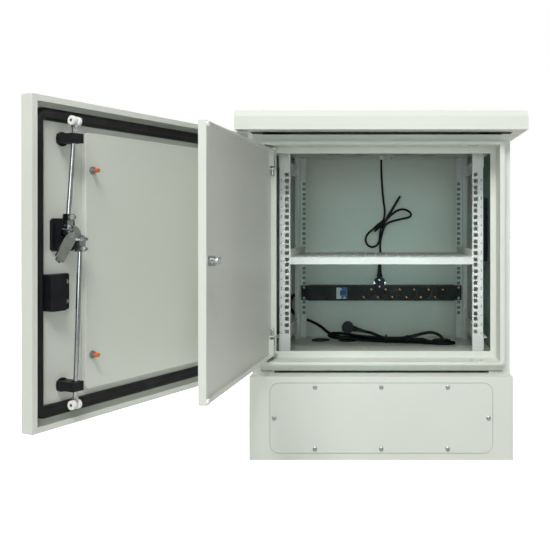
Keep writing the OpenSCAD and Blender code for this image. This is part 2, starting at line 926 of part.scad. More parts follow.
module breaker_body() {
  mid = (breaker_x[0] + breaker_x[1]) / 2;
  color(cream)
    difference() {
      slab(breaker_x, [strip_y + 3, strip_y + window_d], [strip_z - window_h / 2, strip_z + window_h / 2]);
      bar_x([mid - 5 - clear, strip_y + 3, strip_z], 21, toggle_r + clear);
    }
}

module breaker_toggle() {
  mid = (breaker_x[0] + breaker_x[1]) / 2;
  color(blue) {
    bar_x([mid - 5, strip_y + 3, strip_z], 20, toggle_r);
    slab([mid - 5, mid + 15], [strip_y - 8, strip_y + 3], [strip_z - 2, strip_z + 3]);
  }
}

// Floor grommets, fans and gland

module floor_grommets() {
  color(black)
    for (x = grommet_x)
      translate([x, grommet_y, floor_z]) {
        difference() {
          cylinder(h = grommet_h, r = grommet_r);
          translate([0, 0, 1.2])
            cylinder(h = grommet_h, r = grommet_r - 5);
        }
        translate([0, 0, -sheet - 3])
          cylinder(h = sheet + 3, r = grommet_r - 2 - clear);
      }
}

module fan_housing() {
  wall = 3;
  color(fan_grey)
    difference() {
      union() {
        difference() {
          translate([-fan_side / 2, -fan_side / 2, 0])
            cube([fan_side, fan_side, fan_h]);
          translate([0, 0, -past])
            cylinder(h = fan_h + 2 * past, r = fan_bore);
        }
        for (a = [45 : 90 : 315])
          rotate([0, 0, a])
            translate([0, -3, fan_h - wall])
              cube([fan_bore + 3, 6, wall]);
        translate([0, 0, fan_h - wall])
          cylinder(h = wall, r = 20);
        translate([0, 0, 8])
          cylinder(h = fan_h - 8, r = 5);
      }
      translate([0, 0, 8 - past])
        cylinder(h = fan_h - 8 - wall + past, r = 2 + run_fit);
    }
}

module fan_housings() {
  for (s = [-1, 1])
    translate([s * fan_x, fan_y, fan_z])
      fan_housing();
}

module fan_rotor(s) {
  blades = 7;
  color(fan_grey)
    translate([s * fan_x, fan_y, fan_z]) {
      difference() {
        translate([0, 0, 2])
          cylinder(h = 18, r = 18);
        translate([0, 0, 6])
          cylinder(h = 20, r = 15);
      }
      translate([0, 0, 4])
        cylinder(h = fan_h - 9, r = 2);
      intersection() {
        for (i = [0 : blades - 1])
          rotate([0, 0, 360 * i / blades])
            translate([16, 0, 11])
              rotate([38, 0, 0])
                translate([0, -11, -0.8])
                  cube([60, 22, 1.6]);
        difference() {
          translate([0, 0, 2])
            cylinder(h = 18, r = fan_bore - 2);
          cylinder(h = fan_h, r = 17);
        }
      }
    }
}

module fan_rotor_left() {
  fan_rotor(-1);
}

module fan_rotor_right() {
  fan_rotor(1);
}

module fan_guards() {
  wire = 2.6;
  rings = [16, 27, 38, 49, 58];
  reach = (fan_side / 2 - 8) * sqrt(2);
  color(fan_grey)
    for (s = [-1, 1])
      translate([s * fan_x, fan_y, ceiling_z - wire]) {
        for (a = [45 : 90 : 315])
          rotate([0, 0, a])
            translate([rings[0], -wire / 2, 0])
              cube([reach - rings[0], wire, wire]);
        for (r = rings)
          translate([0, 0, -wire / 2])
            difference() {
              cylinder(h = wire, r = r + wire / 2);
              translate([0, 0, -past])
                cylinder(h = wire + 2 * past, r = r - wire / 2);
            }
      }
}

module fan_cord_gland() {
  color(white)
    translate([0, gland_y, ceiling_z]) {
      translate([0, 0, -gland_h / 2])
        cylinder(h = gland_h / 2, r = gland_r);
      translate([0, 0, -gland_h])
        cylinder(h = gland_h / 2, r1 = gland_r - 4, r2 = gland_r - 1);
      cylinder(h = sheet + 4, r = gland_r - 3 - clear);
    }
}

// Cords and plugs

module plug(pins, sleeve) {
  pin_pitch = 19;
  pin_l = 18;
  color(black) {
    rotate([90, 0, 0])
      translate([0, 0, -plug_t / 2]) {
        cylinder(h = plug_t - 4, r = plug_r);
        translate([0, 0, plug_t - 4])
          cylinder(h = 4, r1 = plug_r, r2 = plug_r - 1.5);
        for (s = [-1, 1])
          rotate(pins)
            translate([s * pin_pitch / 2, 0, plug_t - past])
              cylinder(h = pin_l + past, r = 2.4);
      }
    bar_z([0, 0, 0], plug_r + 8, 8);
    translate([0, 0, plug_r + 8])
      cylinder(h = sleeve - 10, r1 = 6.5, r2 = 5);
  }
}

module fan_cord() {
  color(black)
    tube(fan_route, fan_cord_r);
}

module fan_cord_hank() {
  a = fan_hank_ends[0];
  b = fan_hank_ends[1];
  run = norm(a - b);
  tilt = atan2(a[1] - b[1], a[0] - b[0]);
  color(black)
    upright(fan_hank_y - fan_hank_t / 2, fan_hank_t)
      translate(b)
        rotate(tilt) {
          circle(fan_hank_r);
          translate([0, -fan_hank_r])
            square([run, 2 * fan_hank_r]);
          translate([run, 0])
            circle(fan_hank_r);
        }
}

module fan_cord_tail() {
  color(black)
    tube(fan_tail_route, fan_cord_r);
}

module fan_plug() {
  translate(fan_plug_at)
    plug(90, fan_sleeve_l);
}

module strip_cord() {
  color(black)
    tube(strip_route, strip_cord_r);
}

module strip_cord_hank() {
  half = strip_hank_w / 2;
  color(black)
    translate([strip_hank_at[0], strip_hank_at[1], strip_hank_z])
      rotate([0, 0, strip_hank_turn])
        linear_extrude(strip_hank_h)
          round_rect([-strip_hank_l / 2, strip_hank_l / 2], [-half, half], half - 0.01);
}

module strip_cord_tail() {
  color(black)
    tube(strip_tail_route, strip_cord_r);
}

module strip_plug() {
  translate(strip_plug_at)
    rotate([0, 90 + strip_plug_tilt, 0])
      rotate([0, 0, 180])
        plug(0, strip_sleeve_l);
}

// Grooved bar on the right wall

module wall_bar() {
  bar_z0 = floor_z + bar_rise;
  bar_y0 = rear_y - bar_back;
  groove = 3;
  color(bar_grey)
    difference() {
      slab([in_x - bar_d, in_x], [bar_y0, bar_y0 + bar_w], [bar_z0, bar_z0 + bar_h]);
      for (z = [24, 41, bar_h - 41, bar_h - 24])
        difference() {
          slab([in_x - bar_d - past, in_x - 4], [bar_y0 - past, bar_y0 + bar_w + past],
            [bar_z0 + z - groove / 2, bar_z0 + z + groove / 2]);
          slab([in_x - bar_d + 2, in_x], [bar_y0 + 2, bar_y0 + bar_w - 2], [bar_z0, bar_z0 + bar_h]);
        }
    }
}

// Lift-off hinges of the outer door: a pin in the body's leaf carries the door's knuckle

module body_hinge_leaves() {
  color(chrome)
    for (z = hinge_z) {
      bar_z([hinge[0], hinge[1], z - knuckle_h], knuckle_h, knuckle_r);
      bar_z([hinge[0], hinge[1], z], knuckle_h - 2, hinge_pin_r);
      slab([hinge[0], -side_x], [hinge[1] + knuckle_r - leaf_t, hinge[1] + knuckle_r], [z - knuckle_h, z]);
      slab([-side_x - leaf_t, -side_x], [hinge[1] + knuckle_r - leaf_t, hinge[1] + leaf_w],
        [z - knuckle_h, z + knuckle_h]);
    }
}

module door_hinge_leaves() {
  color(chrome)
    on_outer_door()
      for (z = hinge_z)
        difference() {
          union() {
            bar_z([hinge[0], hinge[1], z + clear], knuckle_h - clear, knuckle_r);
            slab([hinge[0], -outer_x], [hinge[1] - knuckle_r, hinge[1] - knuckle_r + leaf_t],
              [z + clear, z + knuckle_h]);
            slab([-outer_x - leaf_t, -outer_x], [outer_y + 2, hinge[1] - knuckle_r + leaf_t],
              [z - knuckle_h, z + knuckle_h]);
          }
          bar_z([hinge[0], hinge[1], z], knuckle_h - 1.5, hinge_pin_r + run_fit);
        }
}

// Outer door

module pan(x, y0, depth, z, t) {
  difference() {
    slab([-x, x], [y0, y0 + depth], z);
    slab([-x + t, x - t], [y0 + t, y0 + depth + past], [z[0] + t, z[1] - t]);
  }
}

module outer_door_pan() {
  fold_x = outer_x - outer_fold;
  fold_z = [outer_z[0] + outer_fold, outer_z[1] - outer_fold];
  color(paint)
    on_outer_door()
      difference() {
        union() {
          pan(outer_x, outer_y, outer_depth, outer_z, sheet);
          difference() {
            slab([-outer_x, outer_x], [outer_rim_y - sheet, outer_rim_y], outer_z);
            slab([-fold_x, fold_x], [outer_rim_y - sheet - past, outer_rim_y + past], fold_z);
          }
        }
        bar_y([cam_x, outer_y - past, cam_z], sheet + 2 * past, spindle_r + 2);
      }
}

module door_gasket() {
  x = outer_x - sheet;
  z = [outer_z[0] + sheet, outer_z[1] - sheet];
  color(black)
    on_outer_door()
      upright(skin_y, gasket_y - skin_y)
        difference() {
          round_rect([-x, x], z, 2);
          round_rect([-x + gasket_w, x - gasket_w], [z[0] + gasket_w, z[1] - gasket_w], 6);
        }
}

panel_x = [-outer_x + sheet + gasket_w + panel_gap, outer_x - panel_free];
panel_z = [outer_z[0] + sheet + gasket_w + panel_gap, outer_z[1] - sheet - gasket_w - panel_gap];
stud_z = [panel_z[0] + 80, panel_z[1] - 87];
stud_x = panel_x[1] - 24;

module door_inner_panel() {
  edge = 4;
  rim = edge + sheet;
  color(paint)
    on_outer_door()
      difference() {
        union() {
          upright(skin_y, panel_t - edge)
            round_rect(panel_x, panel_z, 8);
          upright(skin_y + panel_t - edge, edge)
            round_rect([panel_x[0] + edge, panel_x[1] - edge], [panel_z[0] + edge, panel_z[1] - edge], 6);
        }
        upright(skin_y - past, past + panel_t - sheet)
          round_rect([panel_x[0] + rim, panel_x[1] - rim], [panel_z[0] + rim, panel_z[1] - rim], 4);
      }
}

module panel_studs() {
  color(chrome)
    on_outer_door()
      for (z = stud_z)
        translate([stud_x, skin_y + panel_t, z])
          rotate([-90, 0, 0]) {
            cylinder(h = 2, r = 7);
            cylinder(h = 5, r = 5, $fn = 6);
            cylinder(h = 9, r = 2.5);
          }
}

module handle_plate() {
  color(black)
    on_outer_door()
      difference() {
        upright(outer_y - plate_t, plate_t)
          round_rect([cam_x - plate_w / 2, cam_x + plate_w / 2],
            [cam_z + 40 - plate_h, cam_z + 40], plate_r);
        bar_y([cam_x, outer_y - plate_t - past, cam_z], plate_t + 2 * past, spindle_r + run_fit);
      }
}

module upper_clamp() {
  color(black)
    on_outer_door()
      difference() {
        union() {
          upright(skin_y, 6)
            round_rect([cam_x - 25, cam_x + 23], [cam_z - 31, cam_z + 25], 6);
          upright(skin_y + 6, 4)
            round_rect([cam_x - 20, cam_x + 18], [cam_z - 26, cam_z + 20], 5);
        }
        bar_y([cam_x, skin_y - past, cam_z], 10 + 2 * past, spindle_r + 2);
      }
}

module lower_clamp() {
  x = [cam_x + 5, cam_x + 38];
  z = [cam_z - 131, cam_z - 69];
  tab = 18;
  tab_t = 6;
  color(black)
    on_outer_door() {
      upright(skin_y, 20)
        round_rect(x, z, 4);
      upright(skin_y, tab_t)
        round_rect([x[0] - tab, x[0] + 8], z, 4);
      for (dz = [14, z[1] - z[0] - 14])
        bar_y([x[0] - tab / 2, skin_y + tab_t, z[0] + dz], 3, 4.5);
    }
}

module rod_guides() {
  top_y = cam_y + rod_r + 1.5 + guide_wall;
  half = guide_slot + guide_wall;
  color(black)
    on_outer_door()
      for (z = guide_z)
        difference() {
          union() {
            bar_y([rod_x, skin_y, z], 3, half + 1);
            slab([rod_x - half, rod_x + half], [skin_y, top_y], [z - 8, z + 8]);
          }
          slab([rod_x - guide_slot, rod_x + guide_slot], [cam_y - rod_r - 1.5, cam_y + rod_r + 1.5],
            [z - 8 - past, z + 8 + past]);
        }
}

// Lock: spindle and hub outside, cam inside, two rods with rollers

module lock_spindle() {
  hub_y = outer_y - plate_t - clear;
  cheek = lever_w / 2 + clear;
  color(chrome)
    on_lock()
      difference() {
        union() {
          bar_y([cam_x, hub_y - hub_t, cam_z], hub_t, hub_r);
          bar_y([cam_x, hub_y, cam_z], cam_y + cam_t / 2 + 8 - hub_y, spindle_r);
          for (x = [cam_x - hub_r, cam_x + cheek])
            slab([x, x + hub_r - cheek], [hub_y - hub_t - cheek_l, hub_y - hub_t], [cam_z - 7, cam_z + 7]);
        }
        bar_x([cam_x - hub_r - past, lever_y, cam_z], 2 * hub_r + 2 * past, bolt_r + run_fit);
      }
}

module lock_cam() {
  hub = 12;
  arm = 14;
  color(chrome)
    on_lock()
      difference() {
        union() {
          upright(cam_y - cam_t / 2, cam_t) {
            translate([cam_x, cam_z]) {
              circle(hub);
              translate([-arm / 2, -arm_r])
                square([arm, 2 * arm_r]);
              for (s = [-1, 1])
                translate([0, s * arm_r])
                  circle(arm / 2 - 0.5);
              translate([0, -tongue_w / 2])
                square([tongue_l - tongue_w / 4, tongue_w]);
              translate([tongue_l - tongue_w / 2, -tongue_w / 4])
                square([tongue_w / 2, tongue_w / 2]);
            }
          }
          bar_y([cam_x, cam_y + cam_t / 2, cam_z], 5, 9, $fn = 6);
        }
        bar_y([cam_x, cam_y - cam_t, cam_z], cam_t + 10, spindle_r);
        for (s = [-1, 1])
          bar_y([cam_x, cam_y - cam_t, cam_z + s * arm_r], 2 * cam_t, bolt_r + run_fit);
      }
}

module handle_lever() {
  pivot = [cam_x, lever_y, cam_z];
  grip = 22;
  color(black)
    on_lock()
      turned_x(pivot, -lever_lift) {
        bar_x([cam_x - lever_w / 2, lever_y, cam_z], lever_w, lever_t / 2);
        bar_x([cam_x - hub_r, lever_y, cam_z], 2 * hub_r, bolt_r);
        slab([cam_x - lever_w / 2, cam_x + lever_w / 2], [lever_y - lever_t / 2, lever_y + lever_t / 2],
          [cam_z - lever_l + grip, cam_z]);
        upright(lever_y - lever_t / 2 - 2, lever_t + 3)
          round_rect([cam_x - grip / 2, cam_x + grip / 2], [cam_z - lever_l, cam_z - hub_r - 4],
            grip / 2 - 0.01);
      }
}

// A rod drawn upwards from its pivot at the origin
module rod(l) {
  eye = 6;
  color(chrome)
    difference() {
      union() {
        translate([-fork_w / 2, -fork_t / 2, 0])
          cube([fork_w, fork_t, fork_l]);
        bar_y([0, -fork_t / 2, 0], fork_t, fork_w / 2);
        bar_y([0, -fork_t / 2 - 3, 0], fork_t + 12, bolt_r);
        bar_y([0, fork_t / 2, 0], 3, 4.5, $fn = 6);
        bar_z([0, 0, fork_l], l - 10 - fork_l, rod_r);
        translate([-eye / 2, -4.5, l - 14])
          cube([eye, 9, 14]);
        bar_x([-eye / 2, 0, l], eye, 4.5);
      }
      difference() {
        translate([-fork_w / 2 - past, -fork_slot / 2, -fork_w])
          cube([fork_w + 2 * past, fork_slot, fork_w + fork_mouth]);
        bar_y([0, -fork_t, 0], 2 * fork_t, bolt_r);
      }
      bar_x([-eye, 0, l], 2 * eye, bolt_r + run_fit);
    }
}

module roller(l) {
  half = roller_pitch / 2 + roller_w / 2;
  color(white) {
    bar_x([-half, 0, l], 2 * half, bolt_r);
    for (s = [-1, 1])
      bar_x([s * roller_pitch / 2 - roller_w / 2, 0, l], roller_w, roller_r);
  }
}

module on_upper_rod() {
  on_outer_door()
    translate(upper_pivot)
      rotate([0, upper_lean, 0])
        children();
}

module on_lower_rod() {
  on_outer_door()
    translate(lower_pivot)
      rotate([0, 180 - lower_lean, 0])
        mirror([1, 0, 0])
          children();
}

module upper_rod() {
  on_upper_rod()
    rod(upper_l);
}

module lower_rod() {
  on_lower_rod()
    rod(lower_l);
}

module upper_roller() {
  on_upper_rod()
    roller(upper_l);
}

module lower_roller() {
  on_lower_rod()
    roller(lower_l);
}

// Inner door on two spring pins

module inner_door_pan() {
  fold = 10;
  color(paint)
    on_inner_door()
      difference() {
        union() {
          pan(inner_x, inner_y, inner_depth, inner_z, sheet);
          slab([inner_x - fold, inner_x], [inner_rim_y - sheet, inner_rim_y], inner_z);
        }
        bar_y([inner_lock_x, inner_y - past, inner_lock_z], sheet + 2 * past, inner_barrel_r + clear);
        for (z = inner_z)
          bar_z([inner_hinge[0], inner_hinge[1], z - 2 * sheet], 4 * sheet, inner_pin_r + clear);
      }
}

module inner_door_bumpers() {
  inset = 6;
  color(white)
    on_inner_door()
      for (z = [inner_z[0] + inset, inner_z[1] - inset])
        bar_y([inner_x - inset + 1, inner_rim_y, z], inner_seat - 1, 5);
}

// An angle in the door's corner, with a guide hole for the pin
module inner_hinge_bracket() {
  x0 = -inner_x + sheet;
  wing_y = [inner_y + sheet, inner_rim_y - 1];
  difference() {
    union() {
      slab([x0, x0 + bracket_w], [inner_y + sheet, inner_y + 2 * sheet], [0, bracket_h]);
      slab([x0, x0 + bracket_w - 6], wing_y, [bracket_h - 3, bracket_h]);
      slab([x0 + bracket_w - sheet, x0 + bracket_w], wing_y, [0, bracket_h - 8]);
    }
    bar_z([inner_hinge[0], inner_hinge[1], -past], bracket_h + 2 * past, inner_pin_r + run_fit);
    bar_z([inner_hinge[0], inner_hinge[1], pin_collar_z - 3], inner_pin_travel + 8, pin_collar + clear);
  }
}

module inner_hinge_brackets() {
  color(paint)
    on_inner_door() {
      translate([0, 0, inner_z[0] + sheet])
        inner_hinge_bracket();
      translate([0, 0, inner_z[1] - sheet])
        mirror([0, 0, 1])
          inner_hinge_bracket();
    }
}

// A lug on the landing, with a bore for the pin
module inner_hinge_lug(z) {
  color(chrome)
    difference() {
      slab([inner_hinge[0] - 9, inner_hinge[0] + 9], [inner_hinge[1] - 8, landing_y], [z, z + lug_h]);
      bar_z([inner_hinge[0], inner_hinge[1], z - past], lug_h + 2 * past, inner_pin_r + run_fit);
    }
}

module inner_hinge_lugs() {
  inner_hinge_lug(inner_z[0] - lug_h - 1);
  inner_hinge_lug(inner_z[1] + 1);
}

// A pin that reaches past the door's end into its lug, with a pull bar and a spring on it
module inner_pin() {
  reach = lug_h - 0.5;
  tail = bracket_h + 12;
  color(chrome)
    translate([inner_hinge[0], inner_hinge[1], 0]) {
      translate([0, 0, -reach - 1])
        cylinder(h = reach + 1 + sheet + tail, r = inner_pin_r);
      translate([0, 0, sheet + tail])
        sphere(inner_pin_r + 1);
      translate([0, 0, sheet + pin_collar_z])
        cylinder(h = 2, r = pin_collar);
      bar_x([0, 0, sheet + pin_collar_z + 5], 11, 1.5);
    }
}

module inner_pin_lower() {
  on_inner_door()
    translate([0, 0, inner_z[0]])
      inner_pin();
}

module inner_pin_upper() {
  on_inner_door()
    translate([0, 0, inner_z[1]])
      mirror([0, 0, 1])
        inner_pin();
}

module inner_lock_barrel() {
  color(chrome)
    on_inner_door()
      difference() {
        union() {
          bar_y([inner_lock_x, inner_y - 2, inner_lock_z], 2, inner_barrel_r + 2.5);
          bar_y([inner_lock_x, inner_y - 1, inner_lock_z], inner_cam_y - inner_y + 1 - clear,
            inner_barrel_r);
          bar_y([inner_lock_x, inner_y + sheet, inner_lock_z], 5, inner_barrel_r + 4, $fn = 6);
        }
        bar_y([inner_lock_x, inner_y - 2 - past, inner_lock_z], inner_cam_y - inner_y + 4, 4 + run_fit);
      }
}

module inner_lock_cam() {
  color(chrome)
    on_inner_door() {
      bar_y([inner_lock_x, inner_y - 1, inner_lock_z], inner_cam_y - inner_y + 1, 4);
      upright(inner_cam_y, 2.5)
        round_rect([inner_lock_x - inner_cam_l + inner_cam_w / 2, inner_lock_x + inner_cam_w / 2],
          [inner_lock_z - inner_cam_w / 2, inner_lock_z + inner_cam_w / 2], inner_cam_w / 2 - 0.5);
      bar_y([inner_lock_x, inner_cam_y + 2.5, inner_lock_z], 3, 5.5, $fn = 6);
    }
}

plinth();
plinth_cover();
plinth_cover_screws();
side_panel_left();
side_panel_right();
rear_panel();
floor_panel();
ceiling_panel();
front_frame();
roof();
rail_front_left();
rail_front_right();
rail_rear_left();
rail_rear_right();
rail_braces();
shelf();
strip_housing();
strip_sockets();
breaker_body();
breaker_toggle();
floor_grommets();
fan_housings();
fan_guards();
fan_rotor_left();
fan_rotor_right();
fan_cord_gland();
fan_cord();
fan_cord_hank();
fan_cord_tail();
fan_plug();
strip_cord();
strip_cord_hank();
strip_cord_tail();
strip_plug();
body_hinge_leaves();
wall_bar();
inner_hinge_lugs();
outer_door_pan();
door_gasket();
door_inner_panel();
panel_studs();
door_hinge_leaves();
handle_plate();
upper_clamp();
lower_clamp();
rod_guides();
lock_spindle();
lock_cam();
handle_lever();
upper_rod();
lower_rod();
upper_roller();
lower_roller();
inner_door_pan();
inner_door_bumpers();
inner_hinge_brackets();
inner_lock_barrel();
inner_lock_cam();
inner_pin_upper();
inner_pin_lower();
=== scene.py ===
import json
import math

import bmesh
import bpy
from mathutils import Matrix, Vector


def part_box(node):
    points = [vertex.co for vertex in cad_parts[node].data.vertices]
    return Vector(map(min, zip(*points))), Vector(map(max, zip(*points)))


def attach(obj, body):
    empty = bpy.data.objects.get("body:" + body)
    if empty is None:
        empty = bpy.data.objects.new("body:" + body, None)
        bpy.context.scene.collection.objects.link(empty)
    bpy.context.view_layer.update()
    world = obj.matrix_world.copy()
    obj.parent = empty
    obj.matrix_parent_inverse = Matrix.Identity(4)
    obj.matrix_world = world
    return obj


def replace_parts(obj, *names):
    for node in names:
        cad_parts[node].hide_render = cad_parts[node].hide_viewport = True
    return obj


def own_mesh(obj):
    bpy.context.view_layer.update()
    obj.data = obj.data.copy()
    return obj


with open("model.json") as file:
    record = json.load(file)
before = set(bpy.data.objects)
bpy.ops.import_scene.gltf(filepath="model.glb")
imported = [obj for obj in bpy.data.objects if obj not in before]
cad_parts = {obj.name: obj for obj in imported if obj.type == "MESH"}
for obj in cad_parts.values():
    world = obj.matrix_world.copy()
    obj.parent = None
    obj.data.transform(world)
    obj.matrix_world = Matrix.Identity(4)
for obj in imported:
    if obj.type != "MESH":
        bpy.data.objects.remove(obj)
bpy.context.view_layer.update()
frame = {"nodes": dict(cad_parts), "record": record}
nodes = frame["nodes"]
mm = 0.001
print("frame loaded:", len(nodes), "pieces of the cabinet")


def metres(*point):
    return tuple(v * mm for v in point)


# camera: level, square to the cabinet, framed off centre as in the photograph
view = dict(
    place=(0.0, -2036 * mm, 531 * mm),
    lens=50.0,
    film=36.0,
    frameSize=550,
    near=0.05,
    middle=(381.3, 226.6),  # where the camera's axis meets the picture, in its pixels
)


def addCamera():
    data = bpy.data.cameras.new("frontCamera")
    data.lens = view["lens"]
    data.sensor_width = view["film"]
    half = view["frameSize"] / 2
    data.shift_x = (half - view["middle"][0]) / view["frameSize"]
    data.shift_y = (view["middle"][1] - half) / view["frameSize"]
    data.clip_start = view["near"]
    camera = bpy.data.objects.new("frontCamera", data)
    camera.location = view["place"]
    camera.rotation_euler = (math.radians(90), 0, 0)
    bpy.context.collection.objects.link(camera)
    bpy.context.scene.camera = camera


addCamera()
print("camera set")


# shader groups shared by several finishes

def newGroup(name, inputs, outputs):
    group = bpy.data.node_groups.new(name, "ShaderNodeTree")
    for label, kind, value in inputs:
        socket = group.interface.new_socket(label, in_out="INPUT", socket_type=kind)
        socket.default_value = value
    for label, kind in outputs:
        group.interface.new_socket(label, in_out="OUTPUT", socket_type=kind)
    return group, group.nodes.new("NodeGroupInput"), group.nodes.new("NodeGroupOutput")


def addNode(tree, kind, **values):
    node = tree.nodes.new(kind)
    for key, value in values.items():
        setattr(node, key, value)
    return node


def mixColour(tree, factor, first, second):
    mix = addNode(tree, "ShaderNodeMix", data_type="RGBA")
    tree.links.new(factor, mix.inputs["Factor"])
    tree.links.new(first, mix.inputs["A"])
    tree.links.new(second, mix.inputs["B"])
    return mix.outputs["Result"]


def spread(tree, value, source, target):
    ramp = addNode(tree, "ShaderNodeMapRange")
    tree.links.new(value, ramp.inputs["Value"])
    for label, (low, high) in (("From", source), ("To", target)):
        ramp.inputs[label + " Min"].default_value = low
        ramp.inputs[label + " Max"].default_value = high
    return ramp.outputs["Result"]


def noiseAt(tree, scale, detail, stretch=None):
    place = addNode(tree, "ShaderNodeTexCoord").outputs["Object"]
    if stretch:
        mapping = addNode(tree, "ShaderNodeMapping")
        mapping.inputs["Scale"].default_value = stretch
        tree.links.new(place, mapping.inputs["Vector"])
        place = mapping.outputs["Vector"]
    noise = addNode(tree, "ShaderNodeTexNoise")
    noise.inputs["Scale"].default_value = scale
    noise.inputs["Detail"].default_value = detail
    tree.links.new(place, noise.inputs["Vector"])
    return noise.outputs["Fac"]


finishOutputs = [
    ("Color", "NodeSocketColor"),
    ("Roughness", "NodeSocketFloat"),
    ("Height", "NodeSocketFloat"),
]
whole = (0.0, 1.0)


def buildPowderGroup():
    # orange peel, faint clouding and fine dust of a powder coat
    group, gin, gout = newGroup(
        "powderCoat",
        [("Tint", "NodeSocketColor", (0.7, 0.72, 0.68, 1)),
         ("Dust", "NodeSocketColor", (0.6, 0.6, 0.54, 1)),
         ("Clouding", "NodeSocketFloat", 0.25)],
        finishOutputs,
    )
    cloud = spread(group, noiseAt(group, scale=5.0, detail=4.0), (0.35, 0.75), whole)
    amount = addNode(group, "ShaderNodeMath", operation="MULTIPLY")
    group.links.new(cloud, amount.inputs[0])
    group.links.new(gin.outputs["Clouding"], amount.inputs[1])
    tint = mixColour(group, amount.outputs[0], gin.outputs["Tint"], gin.outputs["Dust"])
    group.links.new(tint, gout.inputs["Color"])
    rough = spread(group, noiseAt(group, scale=60.0, detail=3.0), (0.3, 0.7), (0.36, 0.46))
    group.links.new(rough, gout.inputs["Roughness"])
    group.links.new(noiseAt(group, scale=700.0, detail=2.0), gout.inputs["Height"])
    return group


def buildMouldedGroup():
    # spark-eroded grain and rubbed patches of moulded plastic and rubber
    group, gin, gout = newGroup(
        "mouldedGrain",
        [("Tint", "NodeSocketColor", (0.03, 0.03, 0.03, 1)),
         ("Rubbed", "NodeSocketColor", (0.06, 0.06, 0.06, 1)),
         ("Grain", "NodeSocketFloat", 900.0)],
        finishOutputs,
    )
    patch = spread(group, noiseAt(group, scale=30.0, detail=5.0), (0.45, 0.75), whole)
    tint = mixColour(group, patch, gin.outputs["Tint"], gin.outputs["Rubbed"])
    group.links.new(tint, gout.inputs["Color"])
    group.links.new(spread(group, patch, whole, (0.5, 0.38)), gout.inputs["Roughness"])
    place = addNode(group, "ShaderNodeTexCoord").outputs["Object"]
    grain = addNode(group, "ShaderNodeTexNoise")
    group.links.new(place, grain.inputs["Vector"])
    group.links.new(gin.outputs["Grain"], grain.inputs["Scale"])
    group.links.new(grain.outputs["Fac"], gout.inputs["Height"])
    return group


def buildPlatedGroup():
    # drawn streaks and dull spots of zinc and bright plating
    group, gin, gout = newGroup(
        "platedMetal",
        [("Tint", "NodeSocketColor", (0.7, 0.7, 0.7, 1)),
         ("Dull", "NodeSocketColor", (0.45, 0.45, 0.44, 1)),
         ("Smooth", "NodeSocketFloat", 0.18),
         ("Worn", "NodeSocketFloat", 0.4)],
        finishOutputs,
    )
    spots = spread(group, noiseAt(group, scale=80.0, detail=5.0), (0.5, 0.8), whole)
    tint = mixColour(group, spots, gin.outputs["Tint"], gin.outputs["Dull"])
    group.links.new(tint, gout.inputs["Color"])
    rough = addNode(group, "ShaderNodeMix", data_type="FLOAT")
    group.links.new(spots, rough.inputs["Factor"])
    group.links.new(gin.outputs["Smooth"], rough.inputs["A"])
    group.links.new(gin.outputs["Worn"], rough.inputs["B"])
    group.links.new(rough.outputs["Result"], gout.inputs["Roughness"])
    streaks = noiseAt(group, scale=300.0, detail=2.0, stretch=(1, 1, 0.05))
    group.links.new(streaks, gout.inputs["Height"])
    return group


powderGroup = buildPowderGroup()
mouldedGroup = buildMouldedGroup()
platedGroup = buildPlatedGroup()


def finish(name, group, values, bump, metallic=0.0, coat=0.0, specular=0.5):
    material = bpy.data.materials.new(name)
    material.use_nodes = True
    tree = material.node_tree
    shader = tree.nodes["Principled BSDF"]
    effect = addNode(tree, "ShaderNodeGroup")
    effect.node_tree = group
    for label, value in values.items():
        effect.inputs[label].default_value = value
    relief = addNode(tree, "ShaderNodeBump")
    relief.inputs["Strength"].default_value, relief.inputs["Distance"].default_value = bump
    tree.links.new(effect.outputs["Height"], relief.inputs["Height"])
    tree.links.new(effect.outputs["Color"], shader.inputs["Base Color"])
    tree.links.new(effect.outputs["Roughness"], shader.inputs["Roughness"])
    tree.links.new(relief.outputs["Normal"], shader.inputs["Normal"])
    shader.inputs["Metallic"].default_value = metallic
    shader.inputs["Coat Weight"].default_value = coat
    shader.inputs["Specular IOR Level"].default_value = specular
    return material


def rgb(r, g, b):
    return (r, g, b, 1.0)


# strength and depth of the relief, in metres
paintBump = (0.06, 0.0004)
mouldBump = (0.12, 0.0004)
foamBump = (0.4, 0.0008)
metalBump = (0.02, 0.0003)


def painted(name, tint, dust):
    return finish(name, powderGroup, {"Tint": rgb(*tint), "Dust": rgb(*dust)}, paintBump)


def moulded(name, tint, rubbed, bump=mouldBump, grain=900.0, **gloss):
    values = {"Tint": rgb(*tint), "Rubbed": rgb(*rubbed), "Grain": grain}
    return finish(name, mouldedGroup, values, bump, **gloss)


def plated(name, tint, dull, smooth, worn=0.4, metallic=1.0):
    values = {"Tint": rgb(*tint), "Dull": rgb(*dull), "Smooth": smooth, "Worn": worn}
    return finish(name, platedGroup, values, metalBump, metallic=metallic)


greyPaint = painted("greyPaint", (0.70, 0.725, 0.67), (0.63, 0.65, 0.58))
rackZinc = painted("rackZinc", (0.74, 0.77, 0.75), (0.66, 0.69, 0.66))
blackMould = moulded("blackMould", (0.01, 0.01, 0.013), (0.018, 0.018, 0.022), specular=0.2)
blackFoam = moulded("blackFoam", (0.01, 0.01, 0.011), (0.02, 0.02, 0.022), foamBump, 400.0, specular=0.25)
cordRubber = moulded("cordRubber", (0.006, 0.006, 0.008), (0.012, 0.012, 0.014), specular=0.2)
zincSteel = plated("zincSteel", (0.42, 0.43, 0.44), (0.28, 0.28, 0.28), smooth=0.3)
brightSteel = plated("brightSteel", (0.52, 0.53, 0.55), (0.36, 0.36, 0.37), smooth=0.14, worn=0.3)
leverBlack = moulded("leverBlack", (0.015, 0.015, 0.017), (0.04, 0.04, 0.04), coat=0.2)
whiteNylon = moulded("whiteNylon", (0.86, 0.86, 0.83), (0.78, 0.78, 0.74))
breakerCream = moulded("breakerCream", (0.72, 0.74, 0.70), (0.62, 0.63, 0.58))
